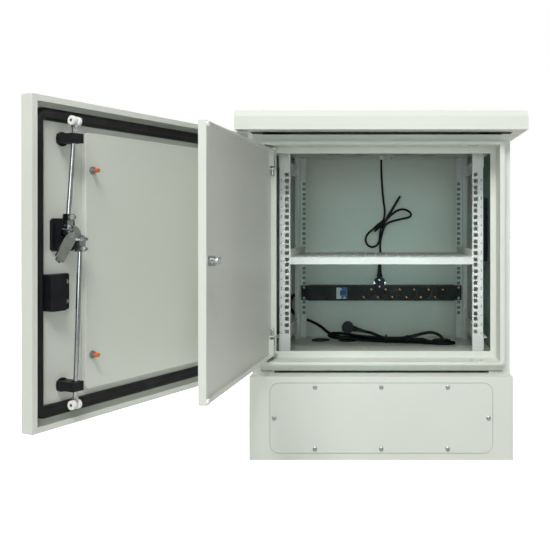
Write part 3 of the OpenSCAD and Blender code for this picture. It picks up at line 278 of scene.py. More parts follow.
breakerBlue = moulded("breakerBlue", (0.04, 0.12, 0.36), (0.06, 0.16, 0.42))
barAnodised = plated("barAnodised", (0.03, 0.045, 0.06), (0.02, 0.025, 0.03), smooth=0.35, metallic=0.6)
orangeCap = moulded("orangeCap", (0.80, 0.16, 0.02), (0.66, 0.13, 0.02))
copperClip = plated("copperClip", (0.45, 0.19, 0.07), (0.25, 0.11, 0.05), smooth=0.25)
fanGrey = moulded("fanGrey", (0.55, 0.58, 0.53), (0.48, 0.5, 0.46))
jointShade = moulded("jointShade", (0.3, 0.31, 0.29), (0.36, 0.37, 0.35))
# dark tone of the painted shade on the side walls and behind the rail holes
shadeSheetFinish = moulded("shadeSheetFinish", (0.20, 0.29, 0.27), (0.25, 0.34, 0.31), specular=0.25)
# printed dots on the rails, and painted shade in the rollers' bores
darkPrintAndShade = moulded("darkPrintAndShade", (0.03, 0.03, 0.035), (0.05, 0.05, 0.05))

slotFinish = dict(
    paint=greyPaint,
    rack_paint=rackZinc,
    black_plastic=blackMould,
    black_rubber=blackFoam,
    steel=zincSteel,
    bright_steel=brightSteel,
    lever_metal=leverBlack,
    white_plastic=whiteNylon,
    breaker_shell=breakerCream,
    breaker_blue=breakerBlue,
    bar_metal=barAnodised,
    fan_plastic=fanGrey,
)


def dressNodes():
    for part in frame["record"]["subparts"]:
        mesh = nodes[part["node"]].data
        mesh.materials.clear()
        mesh.materials.append(slotFinish[part["material_slot"]])


dressNodes()
print("finishes on the carried pieces")


# makers shared by the pieces below

def pieceFrom(name, build, material, body):
    bm = bmesh.new()
    build(bm)
    bmesh.ops.recalc_face_normals(bm, faces=bm.faces)
    mesh = bpy.data.meshes.new(name)
    bm.to_mesh(mesh)
    bm.free()
    mesh.materials.append(material)
    piece = bpy.data.objects.new(name, mesh)
    bpy.context.collection.objects.link(piece)
    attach(piece, body)
    return piece


def smoothRoute(points, steps):
    # a smooth run through the points, with steps to each stretch
    route = []
    last = len(points) - 1
    for i in range(last):
        a, b, c, d = (Vector(points[min(max(k, 0), last)]) for k in range(i - 1, i + 3))
        for s in range(steps):
            t = s / steps
            route.append(0.5 * (2 * b + (c - a) * t + (2 * a - 5 * b + 4 * c - d) * t * t
                                + (3 * b - a - 3 * c + d) * t * t * t))
    route.append(Vector(points[last]))
    return route


def routeLength(route):
    return sum((b - a).length for a, b in zip(route, route[1:]))


def cordPiece(name, route, diameter, body):
    curve = bpy.data.curves.new(name, "CURVE")
    curve.dimensions = "3D"
    curve.bevel_depth = diameter / 2
    curve.bevel_resolution = 3
    curve.use_fill_caps = True
    spline = curve.splines.new("POLY")
    spline.points.add(len(route) - 1)
    for point, place in zip(spline.points, route):
        point.co = (*place, 1.0)
    spline.use_smooth = True
    curve.materials.append(cordRubber)
    piece = bpy.data.objects.new(name, curve)
    bpy.context.collection.objects.link(piece)
    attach(piece, body)
    return piece


# cord of the fans: gland, hank of four loops tied in the middle, plug
fanCord = dict(
    diameter=0.0066,
    steps=6,
    down=[(0, 214, 728), (0, 214, 712), (0.5, 214, 690), (2, 214, 660), (4, 214, 632),
          (6.5, 214.5, 606), (9.5, 215.5, 585), (10, 217, 569), (5, 218.5, 549), (-11, 219, 536),
          (-24, 219, 523.5)],
    lowerLoop=[(-36, 219, 513.5), (-44, 219, 502), (-46, 219, 489), (-40.5, 219, 477),
               (-28, 219, 470.5), (-14.5, 220, 475), (-6.5, 221, 486), (-4, 222, 502),
               (-2, 224, 520), (5, 226, 536)],
    tallLoop=[(15, 227, 554), (26.5, 231, 573), (38.5, 233, 593.5), (49, 231, 611),
              (54.5, 219, 619), (49.5, 207, 611), (39.5, 205, 593), (28, 205, 572),
              (17, 205.5, 553)],
    smallLoop=[(6.5, 205, 538.5), (-6, 205, 529), (-15, 208, 521), (-18, 219, 518), (-15, 231, 524),
               (-4, 233.5, 534), (9, 233.5, 545)],
    openLoop=[(20, 233.5, 556), (31, 233, 567), (45, 232, 577), (59.5, 228, 582), (74, 222, 580),
              (85, 217, 572), (87, 214, 564), (80, 212, 558), (67, 211, 555), (49, 211, 551),
              (33, 211, 547), (20, 211.5, 541.5)],
    tail=[(11, 212, 534), (5.5, 212, 521.5), (1.5, 212, 507), (-2, 212, 492), (-3.5, 212.5, 477),
          (-3, 213, 462), (-3, 213.5, 447), (-4.5, 214, 433), (-5, 214, 419)],
    parts=("down", "lowerLoop", "tallLoop", "smallLoop", "openLoop", "tail"),
)


def fanRoute():
    points = [p for part in fanCord["parts"] for p in fanCord[part]]
    return smoothRoute([metres(*p) for p in points], fanCord["steps"])


def addFanCord():
    route = fanRoute()
    piece = cordPiece("fanCordRun", route, fanCord["diameter"], "cabinet")
    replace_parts(piece, "fan_cord", "fan_cord_hank", "fan_cord_tail")
    print("fan cord:", round(routeLength(route), 3), "m")


# cord of the power strip: out of its left end, down behind the rail, folded bundle on the floor, plug
stripCord = dict(
    diameter=0.0085,
    steps=5,
    # bundle's middle in X and Y, its slope, its bow towards the front and its half length
    middle=(25.0, 177.0),
    slope=-0.231,
    bow=16.0,
    half=188.0,
    drop=[(-241, 279, 332.3), (-247, 279, 332.3), (-258, 279, 328), (-269, 279, 318),
          (-275, 279, 301), (-272, 278, 280), (-258, 277, 264), (-238, 276, 254), (-215, 272, 246),
          (-194, 262, 238), (-178, 250, 230), (-166, 238, 222), (-155, 228, 216), (-143, 220, 212)],
    # along X, across the bundle, and height
    runs=[(-120, 7, 207.5), (-95, 8, 205.8), (-65, 9, 203), (-30, 9, 201.6), (10, 9, 201.4),
          (50, 9, 201.4), (90, 9, 201.4), (125, 11, 201.4), (155, 16, 201.4), (180, 20, 201.4),
          (198, 14, 201.4), (206, 0, 201.4), (198, -15, 201.4), (180, -21, 201.4),
          (152, -16, 201.4), (122, -6, 201.4), (90, 0, 201.4), (50, 0, 201.4), (10, 0, 201.4),
          (-30, -1, 201.6), (-65, -4, 203.5), (-100, -12, 205.6), (-126, -19, 206.5),
          (-146, -14, 208.5), (-155, 0, 211), (-147, 14, 214), (-128, 19, 215.2), (-100, 12, 214.6),
          (-70, 5, 212.3), (-30, 3, 210.4), (10, 3, 210.2), (45, 3, 210.5), (70, 3, 213),
          (96, 4, 219.4), (120, 5, 225.5), (140, 6, 228.5), (156, 5, 226), (168, 2, 219.5),
          (174, -1, 211.5), (169, -4, 205), (156, -4, 202.2), (138, -2, 204), (118, -5, 210),
          (95, -7, 210.4), (60, -7, 210.3), (28, -8, 210.4), (8, -9, 212.2)],
    tail=[(-6, 161, 216), (-18, 170, 220), (-31, 184, 222.5), (-44, 193, 224), (-54.3, 195, 226.5)],
)


def bundleMiddle(x):
    fromMiddle = x - stripCord["middle"][0]
    return (stripCord["middle"][1] + stripCord["slope"] * fromMiddle
            - stripCord["bow"] * math.cos(math.pi / 2 * fromMiddle / stripCord["half"]))


def stripRoute():
    bundle = [(x, bundleMiddle(x) + across, z) for x, across, z in stripCord["runs"]]
    points = stripCord["drop"] + bundle + stripCord["tail"]
    return smoothRoute([metres(*p) for p in points], stripCord["steps"])


def addStripCord():
    route = stripRoute()
    piece = cordPiece("stripCordRun", route, stripCord["diameter"], "cabinet")
    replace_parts(piece, "strip_cord", "strip_cord_hank", "strip_cord_tail")
    print("strip cord:", round(routeLength(route), 3), "m")


addFanCord()
addStripCord()


# geometry nodes for what repeats: each tree takes a mesh of points and puts one shape on each

def newTree(name, inputs):
    tree = bpy.data.node_groups.new(name, "GeometryNodeTree")
    tree.interface.new_socket("Points", in_out="INPUT", socket_type="NodeSocketGeometry")
    for label, kind, value in inputs:
        socket = tree.interface.new_socket(label, in_out="INPUT", socket_type=kind)
        if value is not None:
            socket.default_value = value
    tree.interface.new_socket("Geometry", in_out="OUTPUT", socket_type="NodeSocketGeometry")
    return tree, tree.nodes.new("NodeGroupInput"), tree.nodes.new("NodeGroupOutput")


def closeTree(tree, gin, gout, shape):
    place = addNode(tree, "GeometryNodeInstanceOnPoints")
    tree.links.new(gin.outputs["Points"], place.inputs["Points"])
    tree.links.new(shape, place.inputs["Instance"])
    tree.links.new(gin.outputs["Turn"], place.inputs["Rotation"])
    real = addNode(tree, "GeometryNodeRealizeInstances")
    tree.links.new(place.outputs["Instances"], real.inputs["Geometry"])
    dress = addNode(tree, "GeometryNodeSetMaterial")
    tree.links.new(real.outputs["Geometry"], dress.inputs["Geometry"])
    tree.links.new(gin.outputs["Material"], dress.inputs["Material"])
    tree.links.new(dress.outputs["Geometry"], gout.inputs["Geometry"])


sharedInputs = [("Turn", "NodeSocketRotation", None), ("Material", "NodeSocketMaterial", None)]


def roundInputs(radius, height):
    return [("Radius", "NodeSocketFloat", radius), ("Height", "NodeSocketFloat", height)] + sharedInputs


def times(tree, socket, factor):
    product = addNode(tree, "ShaderNodeMath", operation="MULTIPLY")
    tree.links.new(socket, product.inputs[0])
    product.inputs[1].default_value = factor
    return product.outputs[0]


def taperedHead(tree, gin, vertices, bands, taper):
    head = addNode(tree, "GeometryNodeMeshCone", fill_type="NGON")
    head.inputs["Vertices"].default_value = vertices
    head.inputs["Side Segments"].default_value = bands
    tree.links.new(times(tree, gin.outputs["Radius"], taper), head.inputs["Radius Top"])
    tree.links.new(gin.outputs["Radius"], head.inputs["Radius Bottom"])
    tree.links.new(gin.outputs["Height"], head.inputs["Depth"])
    return head.outputs["Mesh"]


def lifted(tree, shape, height):
    shift = addNode(tree, "ShaderNodeCombineXYZ")
    tree.links.new(height, shift.inputs["Z"])
    move = addNode(tree, "GeometryNodeTransform")
    tree.links.new(shape, move.inputs["Geometry"])
    tree.links.new(shift.outputs["Vector"], move.inputs["Translation"])
    return move.outputs["Geometry"]


def buildScrewTree():
    # tapered head with a six-sided recess
    tree, gin, gout = newTree("domedScrews", roundInputs(0.004, 0.003))
    head = taperedHead(tree, gin, vertices=20, bands=2, taper=0.62)
    hole = addNode(tree, "GeometryNodeMeshCylinder", fill_type="NGON")
    hole.inputs["Vertices"].default_value = 6
    tree.links.new(times(tree, gin.outputs["Radius"], 0.36), hole.inputs["Radius"])
    tree.links.new(gin.outputs["Height"], hole.inputs["Depth"])
    cut = addNode(tree, "GeometryNodeMeshBoolean", operation="DIFFERENCE")
    tree.links.new(head, cut.inputs["Mesh 1"])
    tree.links.new(lifted(tree, hole.outputs["Mesh"], gin.outputs["Height"]), cut.inputs["Mesh 2"])
    closeTree(tree, gin, gout, cut.outputs["Mesh"])
    return tree


def buildPegTree():
    # short round pegs, for printed dots, pins, caps and the painted shade in bores
    tree, gin, gout = newTree("roundPegs", roundInputs(0.002, 0.002))
    closeTree(tree, gin, gout, taperedHead(tree, gin, vertices=14, bands=1, taper=0.86))
    return tree


def buildBlockTree():
    # plain blocks, for clips, marks and thin sheets
    size = [("Size", "NodeSocketVector", (0.003, 0.003, 0.003))]
    tree, gin, gout = newTree("smallBlocks", size + sharedInputs)
    block = addNode(tree, "GeometryNodeMeshCube")
    tree.links.new(gin.outputs["Size"], block.inputs["Size"])
    closeTree(tree, gin, gout, block.outputs["Mesh"])
    return tree


def buildSpringTree():
    # a wire wound along each point's own axis
    sizes = [
        ("Radius", "NodeSocketFloat", 0.005),
        ("Length", "NodeSocketFloat", 0.02),
        ("Turns", "NodeSocketFloat", 8.0),
        ("Wire", "NodeSocketFloat", 0.0007),
    ]
    tree, gin, gout = newTree("coilSprings", sizes + sharedInputs)
    coil = addNode(tree, "GeometryNodeCurveSpiral")
    coil.inputs["Resolution"].default_value = 16
    tree.links.new(gin.outputs["Turns"], coil.inputs["Rotations"])
    tree.links.new(gin.outputs["Radius"], coil.inputs["Start Radius"])
    tree.links.new(gin.outputs["Radius"], coil.inputs["End Radius"])
    tree.links.new(gin.outputs["Length"], coil.inputs["Height"])
    ring = addNode(tree, "GeometryNodeCurvePrimitiveCircle")
    ring.inputs["Resolution"].default_value = 6
    tree.links.new(gin.outputs["Wire"], ring.inputs["Radius"])
    sweep = addNode(tree, "GeometryNodeCurveToMesh")
    sweep.inputs["Fill Caps"].default_value = True
    tree.links.new(coil.outputs["Curve"], sweep.inputs["Curve"])
    tree.links.new(ring.outputs["Curve"], sweep.inputs["Profile Curve"])
    closeTree(tree, gin, gout, sweep.outputs["Mesh"])
    return tree


screwTree = buildScrewTree()
pegTree = buildPegTree()
blockTree = buildBlockTree()
springTree = buildSpringTree()


def scatter(name, tree, places, material, body, slotName, turn=(0, 0, 0), **sizes):
    mesh = bpy.data.meshes.new(name)
    mesh.from_pydata([tuple(p) for p in places], [], [])
    piece = bpy.data.objects.new(name, mesh)
    bpy.context.collection.objects.link(piece)
    modifier = piece.modifiers.new("shapes", "NODES")
    modifier.node_group = tree
    values = dict(sizes, Material=material, Turn=turn)
    for item in tree.interface.items_tree:
        if item.in_out == "INPUT" and item.name in values:
            modifier[item.identifier] = values[item.name]
    bpy.context.view_layer.update()
    depsgraph = bpy.context.evaluated_depsgraph_get()
    solid = bpy.data.meshes.new_from_object(piece.evaluated_get(depsgraph))
    piece.modifiers.clear()
    piece.data = solid
    if not solid.materials:
        solid.materials.append(material)
    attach(piece, body)
    return piece


# where the doors stand: places on the closed outer door are carried to the open one

def swung(point, axis, degrees):
    x, y, z = point
    a = math.radians(degrees)
    dx, dy = x - axis[0], y - axis[1]
    return metres(axis[0] + dx * math.cos(a) + dy * math.sin(a),
                  axis[1] - dx * math.sin(a) + dy * math.cos(a), z)


outerDoor = dict(axis=(-306.0, -260.0), opened=115.0, half=298.0, low=195.0, high=746.0, skin=-283.5)
innerDoor = dict(axis=(-257.9, -220.0))


def onOuter(*point):
    return swung(point, outerDoor["axis"], outerDoor["opened"])


# turns that point a shape's own Z to the front, to the floor and off the outer door's inner face
toFront = (math.radians(90), 0, 0)
toFloor = (math.radians(180), 0, 0)
offOuter = (math.radians(-90), 0, math.radians(-outerDoor["opened"]))


# soft seal and raised inner sheet of the outer door
seal = dict(
    inset=16.0, width=21.0, corner=14.0,
    # across and up: two soft ridges with a shallow valley
    section=((-0.5, 0.0), (-0.5, 4.5), (-0.42, 8.0), (-0.28, 10.0), (-0.1, 9.6), (0.0, 8.8), (0.1, 9.6),
             (0.28, 10.0), (0.42, 8.0), (0.5, 4.5), (0.5, 0.0)),
)
innerSheet = dict(hinge=48.5, free=123.0, ends=48.5, thick=11.0, corner=8.0, fold=2.0, gap=0.8)


def roundedLoop(x0, x1, z0, z1, corner, steps=6):
    # places around a rounded rectangle, each with its outward direction
    loop = []
    corners = ((x1, z1), (x0, z1), (x0, z0), (x1, z0))
    inward = ((-1, -1), (1, -1), (1, 1), (-1, 1))
    for quarter, ((x, z), (ix, iz)) in enumerate(zip(corners, inward)):
        for k in range(steps + 1):
            a = math.radians(90.0 * quarter + 90.0 * k / steps)
            nx, nz = math.cos(a), math.sin(a)
            loop.append((x + ix * corner + corner * nx, z + iz * corner + corner * nz, nx, nz))
    return loop


def skinRings(bm, rings, close):
    # rings of points joined into a skin, the last one to the first where close is set
    made = [[bm.verts.new(p) for p in ring] for ring in rings]
    count = len(made) if close else len(made) - 1
    for i in range(count):
        a, b = made[i], made[(i + 1) % len(made)]
        for j in range(len(a)):
            k = (j + 1) % len(a)
            bm.faces.new((a[j], a[k], b[k], b[j]))
    return made


def addDoorSeal():
    d, wide = outerDoor, seal["width"]
    reach = seal["inset"] + wide / 2

    def build(bm):
        loop = roundedLoop(-d["half"] + reach, d["half"] - reach, d["low"] + reach, d["high"] - reach,
                           seal["corner"])
        rings = [[onOuter(x + nx * u * wide, d["skin"] + up, z + nz * u * wide)
                  for u, up in seal["section"]] for x, z, nx, nz in loop]
        skinRings(bm, rings, True)
    piece = pieceFrom("doorSeal", build, blackFoam, "outer_door")
    for face in piece.data.polygons:
        face.use_smooth = True
    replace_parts(piece, "door_gasket")


def addInnerSheet():
    d, i = outerDoor, innerSheet
    bend = [math.radians(a) for a in (0, 30, 60, 90)]
    rim = [(0.0, i["gap"])]
    rim += [(i["fold"] * (1 - math.cos(a)), i["thick"] - i["fold"] * (1 - math.sin(a))) for a in bend]

    def build(bm):
        loop = roundedLoop(-d["half"] + i["hinge"], d["half"] - i["free"], d["low"] + i["ends"],
                           d["high"] - i["ends"], i["corner"])
        rings = [[onOuter(x - nx * back, d["skin"] + up, z - nz * back) for x, z, nx, nz in loop]
                 for back, up in rim]
        made = skinRings(bm, rings, False)
        bm.faces.new(made[0])
        bm.faces.new(made[-1])
    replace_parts(pieceFrom("doorInnerSheet", build, greyPaint, "outer_door"), "door_inner_panel")


addDoorSeal()
addInnerSheet()
print("door sealed")


# small parts: places in millimetres, shapes in metres
both = (-1, 1)
rack = dict(frontFace=-152.0, rearFace=262.0, column=232.55, lowest=272.0, unit=44.45, units=9)
rackDot = dict(column=246.5, proud=0.15, steps=(-4.0, 15.875, 20.0),
               shape=dict(Radius=0.0013, Height=0.0003))
strip = dict(face=240.0, height=332.3)
stripScrew = dict(rise=15.9, shape=dict(Radius=0.0045, Height=0.003))
earthClip = dict(first=-41.0, pitch=42.6, count=6, reach=16.0 * math.sqrt(0.5), deep=3.0,
                 turn=(0, math.radians(45), 0), shape=dict(Size=(0.0048, 0.006, 0.0036)))
breakerFace = dict(x=-112.5, deep=2.6, rise=11.5, shape=dict(Size=(0.021, 0.0012, 0.010)))
breakerMark = dict(proud=0.9, spots=((-8.5, -12), (-8.5, 12), (-6.5, 0), (2.5, -13)),
                   shape=dict(Size=(0.005, 0.0012, 0.005)))
fanPlug = dict(x=-5.0, front=203.0, z=366.0)
plugPin = dict(rise=9.5, shape=dict(Radius=0.0026, Height=0.0182))
plugClip = dict(reach=15.6, deep=5.0, shape=dict(Size=(0.0035, 0.012, 0.007)))
ceilingScrew = dict(z=737.0, shape=dict(Radius=0.004, Height=0.0025),
                    spots=((-215, 60), (-215, -100), (-150, 20), (-35, -120), (120, -80), (210, 40),
                           (-235, 250), (225, 240), (30, 262)))
studCap = dict(x=160.0, top=-263.2, fromEnd=7, shape=dict(Radius=0.0042, Height=0.006))
clampScrew = dict(x=216.0, top=-274.3, fromEnd=14, shape=dict(Radius=0.0046, Height=0.0032))
forks = dict(
    top=-246.5,
    upper=dict(pivot=(233.8, 530.0), screw=(232.2, 547.0)),
    lower=dict(pivot=(206.2, 510.0), screw=(206.9, 493.0)),
)
forkShank = dict(lift=-0.5, shape=dict(Radius=0.003, Height=0.0065))
forkScrew = dict(lift=5, shape=dict(Radius=0.0052, Height=0.0042))
pivotNut = dict(lift=-0.2, shape=dict(Radius=0.0048, Height=0.0036))
rollers = dict(
    halfLength=8.35,
    upper=dict(middle=(-520.7, -738.1, 710.5), axis=(-0.421, -0.9029, 0.0869)),
    lower=dict(middle=(-520.7, -738.1, 228.5), axis=(-0.4223, -0.9055, 0.0417)),
)
# dark disc of painted shade in each roller's bore
rollerBoreShade = dict(shape=dict(Radius=0.0026, Height=0.0004))
coverJoint = dict(edges=(0.1, 1.1), corner=20, back=1.2, deep=0.3)
# dark sheet of painted shade on the inside of both side walls
sideShade = dict(x=297.9, thick=1.0, front=-205.0, back=281.0, low=198.0, high=737.0)
# dark strip of painted shade behind the hole columns of the rear rails
holeShade = dict(wide=13.0, thick=0.6, y=266.4, low=262.0, high=682.0)
pinSpring = dict(fromEnd=42, run=18, shape=dict(Radius=0.0042, Length=0.018, Turns=7.0, Wire=0.0006))
bundleTie = dict(spots=(14.0, 74.0), across=1, z=208.2, along=(1, -0.0231, 0), half=(15, 11), width=5)
loopTie = dict(middle=(4.5, 219.5, 539.5), along=(0.65, 0, 0.76), half=(20, 9), width=4)
tieForm = dict(sides=24, thick=1.0)


def addRackDots():
    places = [metres(side * rackDot["column"], rack["frontFace"] - rackDot["proud"],
                     rack["lowest"] + u * rack["unit"] + step)
              for side in both for u in range(rack["units"]) for step in rackDot["steps"]]
    scatter("rackDots", pegTree, places, darkPrintAndShade, "cabinet", "black_plastic", toFront,
            **rackDot["shape"])


def addStripScrews():
    places = [metres(side * rack["column"], rack["rearFace"], strip["height"] + up * stripScrew["rise"])
              for side in both for up in both]
    scatter("stripScrews", screwTree, places, zincSteel, "cabinet", "steel", toFront,
            **stripScrew["shape"])


def addSocketContacts():
    c = earthClip
    places = [metres(c["first"] + i * c["pitch"] + s * c["reach"], strip["face"] + c["deep"],
                     strip["height"] + s * c["reach"])
              for i in range(c["count"]) for s in both]
    scatter("earthClips", blockTree, places, copperClip, "cabinet", "steel", c["turn"], **c["shape"])


def addBreakerFace():
    # blue half of the breaker's face above and below its toggle, with pale terminals
    x, y, z = breakerFace["x"], strip["face"] + breakerFace["deep"], strip["height"]
    halves = [metres(x, y, z + s * breakerFace["rise"]) for s in both]
    scatter("breakerHalves", blockTree, halves, breakerBlue, "cabinet", "breaker_blue",
            **breakerFace["shape"])
    marks = [metres(x + dx, y - breakerMark["proud"], z + dz) for dx, dz in breakerMark["spots"]]
    scatter("breakerMarks", blockTree, marks, whiteNylon, "cabinet", "white_plastic",
            **breakerMark["shape"])


def addPlugPins():
    # plated pins and earth clips on the fan cord's plug
    x, y, z = fanPlug["x"], fanPlug["front"], fanPlug["z"]
    pins = [metres(x, y, z + s * plugPin["rise"]) for s in both]
    scatter("plugPins", pegTree, pins, brightSteel, "cabinet", "bright_steel", toFront,
            **plugPin["shape"])
    clips = [metres(x + s * plugClip["reach"], y + plugClip["deep"], z) for s in both]
    scatter("plugClips", blockTree, clips, brightSteel, "cabinet", "bright_steel", **plugClip["shape"])


def addCeilingScrews():
    places = [metres(x, y, ceilingScrew["z"]) for x, y in ceilingScrew["spots"]]
    scatter("ceilingScrews", screwTree, places, zincSteel, "cabinet", "steel", toFloor,
            **ceilingScrew["shape"])


def nearEnds(node, inset):
    low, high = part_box(node)
    return low[2] / mm + inset, high[2] / mm - inset


def addStudCaps():
    places = [onOuter(studCap["x"], studCap["top"], z)
              for z in nearEnds("panel_studs", studCap["fromEnd"])]
    scatter("studCaps", pegTree, places, orangeCap, "outer_door", "white_plastic", offOuter,
            **studCap["shape"])


def addClampScrews():
    places = [onOuter(clampScrew["x"], clampScrew["top"], z)
              for z in nearEnds("lower_clamp", clampScrew["fromEnd"])]
    scatter("clampScrews", screwTree, places, brightSteel, "outer_door", "bright_steel", offOuter,
            **clampScrew["shape"])


def addForkScrews():
    # clamping screw on a short shank and a pivot nut on each rod's fork
    kinds = (
        ("ForkShank", pegTree, "screw", forkShank, zincSteel, "steel"),
        ("ForkScrew", screwTree, "screw", forkScrew, brightSteel, "bright_steel"),
        ("PivotNut", screwTree, "pivot", pivotNut, brightSteel, "bright_steel"),
    )
    for side in ("upper", "lower"):
        for name, tree, spot, kind, material, slotName in kinds:
            x, z = forks[side][spot]
            place = onOuter(x, forks["top"] + kind["lift"], z)
            scatter(side + name, tree, [place], material, side + "_lock_rod", slotName, offOuter,
                    **kind["shape"])


def addRollerBoreShades():
    # painted shade: a dark disc in the end of each roller, for the shade in its bore
    for side in ("upper", "lower"):
        axis = Vector(rollers[side]["axis"])
        end = (Vector(rollers[side]["middle"]) + axis * rollers["halfLength"]) * mm
        turn = tuple(axis.to_track_quat("Z", "Y").to_euler())
        scatter(side + "RollerBoreShade", pegTree, [end], darkPrintAndShade, side + "_lock_roller",
                "black_plastic", turn, **rollerBoreShade["shape"])


def addCoverJoint():
    # shadow line around the plinth's cover
    low, high = ([v / mm for v in c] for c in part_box("plinth_cover"))
    front = low[1] + coverJoint["back"]
    rear = front + coverJoint["deep"]

    def build(bm):
        inner, outer = (roundedLoop(low[0] - e, high[0] + e, low[2] - e, high[2] + e,
                                    coverJoint["corner"] + e) for e in coverJoint["edges"])
        rings = [[metres(x, y, z) for x, z, nx, nz in loop]
                 for loop, y in ((inner, front), (outer, front), (outer, rear), (inner, rear))]
        skinRings(bm, rings, True)
    pieceFrom("coverJoint", build, jointShade, "cabinet")


def addSideShadeSheet():
    # painted shade: a thin dark sheet on the inside of both side walls, between the frame's flange and
    # the rear panel's
    deep, tall = sideShade["back"] - sideShade["front"], sideShade["high"] - sideShade["low"]
    y, z = sideShade["front"] + deep / 2, sideShade["low"] + tall / 2
    places = [metres(side * sideShade["x"], y, z) for side in both]
    scatter("sideShadeSheet", blockTree, places, shadeSheetFinish, "cabinet", "black_rubber",
            Size=metres(sideShade["thick"], deep, tall))


def addHoleShadeStrip():
    # painted shade: a dark strip behind the hole columns of the rear rails
    tall = holeShade["high"] - holeShade["low"]
    z = holeShade["low"] + tall / 2
    places = [metres(side * rack["column"], holeShade["y"], z) for side in both]
    scatter("holeShade", blockTree, places, shadeSheetFinish, "cabinet", "black_rubber",
            Size=metres(holeShade["wide"], holeShade["thick"], tall))


def addPinSprings():
    x, y = innerDoor["axis"]
    lower, upper = nearEnds("inner_door_pan", pinSpring["fromEnd"])
    ends = (("Lower", lower - pinSpring["run"], lower, "lower_pin_slide"),
            ("Upper", upper, upper, "upper_pin_slide"))
    for side, start, anchor, joint in ends:
        piece = scatter("pinSpring" + side, springTree, [metres(x, y, start)], brightSteel, "inner_door",
                        "bright_steel", **pinSpring["shape"])
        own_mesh(piece)


def tieBand(bm, middle, along, half, width):
    # a flat band around a bundle: along is the bundle's direction, half the band's reach across and up
    along = Vector(along).normalized()
    up = along.cross(Vector((0, 1, 0))).normalized()
    across = up.cross(along)
    out = tieForm["thick"]
    section = ((-width / 2, 0.0), (width / 2, 0.0), (width / 2, out), (-width / 2, out))
    rings = []
    for k in range(tieForm["sides"]):
        a = 2 * math.pi * k / tieForm["sides"]
        rings.append([(Vector(middle) + along * shift + across * ((half[0] + thick) * math.cos(a))
                       + up * ((half[1] + thick) * math.sin(a))) * mm for shift, thick in section])
    skinRings(bm, rings, True)


def addBundleTies():
    def build(bm):
        t = bundleTie
        for x in t["spots"]:
            tieBand(bm, (x, bundleMiddle(x) + t["across"], t["z"]), t["along"], t["half"], t["width"])
        tieBand(bm, **loopTie)
    pieceFrom("bundleTies", build, cordRubber, "cabinet")


addRackDots()
addStripScrews()
addSocketContacts()
addBreakerFace()
addPlugPins()
addCeilingScrews()
addStudCaps()
addClampScrews()
addForkScrews()
addRollerBoreShades()
addCoverJoint()
addSideShadeSheet()
addHoleShadeStrip()
addPinSprings()
addBundleTies()
print("small parts placed")


# pale floor, white surround and soft studio light
studio = dict(
    above=0.32, around=0.02, glowSpan=(-0.1, 0.8),
    shineLow=0.25, shineHigh=0.75, shineSpan=(-0.1, 0.9),
    backdrop=1.0,
    floorTone=0.7, floorGlow=1.0, floorRough=0.9, floorHalf=30,
    target=(0.0, -0.2, 0.5),
)
lamps = dict(
    key=dict(place=(-0.35, -2.5, 3.1), size=(1.6, 1.1), power=99.0, tint=(1.0, 0.975, 0.965)),
    fill=dict(place=(0.1, -4.2, 0.9), size=(1.6, 1.2), power=22.0, tint=(0.84, 1.0, 0.94)),
    inside=dict(place=(0.02, -2.6, 0.5), size=(0.2, 0.2), power=0.065, tint=(0.5, 1.0, 0.98),
                target=(0.02, 0.25, 0.42), spread=15.0),
    right=dict(place=(2.8, 1.5, 1.0), size=(1.6, 0.8), power=30.0, tint=(1.0, 0.985, 0.97)),
    left=dict(place=(-2.6, 1.8, 1.4), size=(1.6, 1.2), power=36.0, tint=(1.0, 0.985, 0.97)),
    back=dict(place=(0.2, 3.6, 2.3), size=(2.0, 1.2), power=24.0, tint=(1.0, 0.985, 0.97)),
)


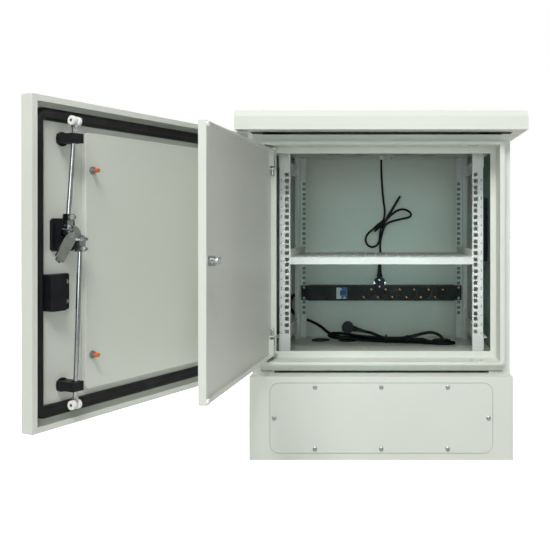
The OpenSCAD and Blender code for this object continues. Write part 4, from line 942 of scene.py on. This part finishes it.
def addFloor():
    bm = bmesh.new()
    bmesh.ops.create_grid(bm, x_segments=1, y_segments=1, size=studio["floorHalf"])
    mesh = bpy.data.meshes.new("paleFloor")
    bm.to_mesh(mesh)
    bm.free()
    floor = bpy.data.objects.new("paleFloor", mesh)
    material = bpy.data.materials.new("paleFloor")
    material.use_nodes = True
    tree = material.node_tree
    shader = tree.nodes["Principled BSDF"]
    shader.inputs["Base Color"].default_value = rgb(*[studio["floorTone"]] * 3)
    shader.inputs["Roughness"].default_value = studio["floorRough"]
    shader.inputs["Specular IOR Level"].default_value = 0.0
    shader.inputs["Emission Color"].default_value = rgb(1, 1, 1)
    # pale to look at, without lighting the cabinet from below
    path = addNode(tree, "ShaderNodeLightPath")
    glow = spread(tree, path.outputs["Is Camera Ray"], whole, (0.0, studio["floorGlow"]))
    tree.links.new(glow, shader.inputs["Emission Strength"])
    mesh.materials.append(material)
    bpy.context.collection.objects.link(floor)


def addSurround():
    # bright above, dim around, plain white where the camera looks past the cabinet
    world = bpy.data.worlds.new("whiteSurround")
    world.use_nodes = True
    tree = world.node_tree
    back = tree.nodes["Background"]
    height = addNode(tree, "ShaderNodeSeparateXYZ")
    tree.links.new(addNode(tree, "ShaderNodeTexCoord").outputs["Generated"], height.inputs["Vector"])
    glow = spread(tree, height.outputs["Z"], studio["glowSpan"], (studio["around"], studio["above"]))
    path = addNode(tree, "ShaderNodeLightPath")
    shine = spread(tree, height.outputs["Z"], studio["shineSpan"],
                   (studio["shineLow"], studio["shineHigh"]))
    backdrop = addNode(tree, "ShaderNodeValue").outputs["Value"]
    backdrop.default_value = studio["backdrop"]
    strength = glow
    for ray, value in (("Is Glossy Ray", shine), ("Is Camera Ray", backdrop)):
        pick = addNode(tree, "ShaderNodeMix", data_type="FLOAT")
        tree.links.new(path.outputs[ray], pick.inputs["Factor"])
        tree.links.new(strength, pick.inputs["A"])
        tree.links.new(value, pick.inputs["B"])
        strength = pick.outputs["Result"]
    tree.links.new(strength, back.inputs["Strength"])
    back.inputs["Color"].default_value = rgb(1, 1, 1)
    bpy.context.scene.world = world


def addLight(name, lamp):
    data = bpy.data.lights.new(name, "AREA")
    data.shape = "RECTANGLE"
    data.size, data.size_y = lamp["size"]
    data.energy = lamp["power"]
    data.color = lamp["tint"]
    light = bpy.data.objects.new(name, data)
    light.location = lamp["place"]
    if "spread" in lamp:
        data.spread = math.radians(lamp["spread"])
    aim = Vector(lamp.get("target", studio["target"])) - Vector(lamp["place"])
    light.rotation_euler = aim.to_track_quat("-Z", "Y").to_euler()
    bpy.context.collection.objects.link(light)


addFloor()
addSurround()
for name, lamp in lamps.items():
    addLight(name, lamp)
bpy.context.scene.view_settings.view_transform = "Standard"
print("studio lit")
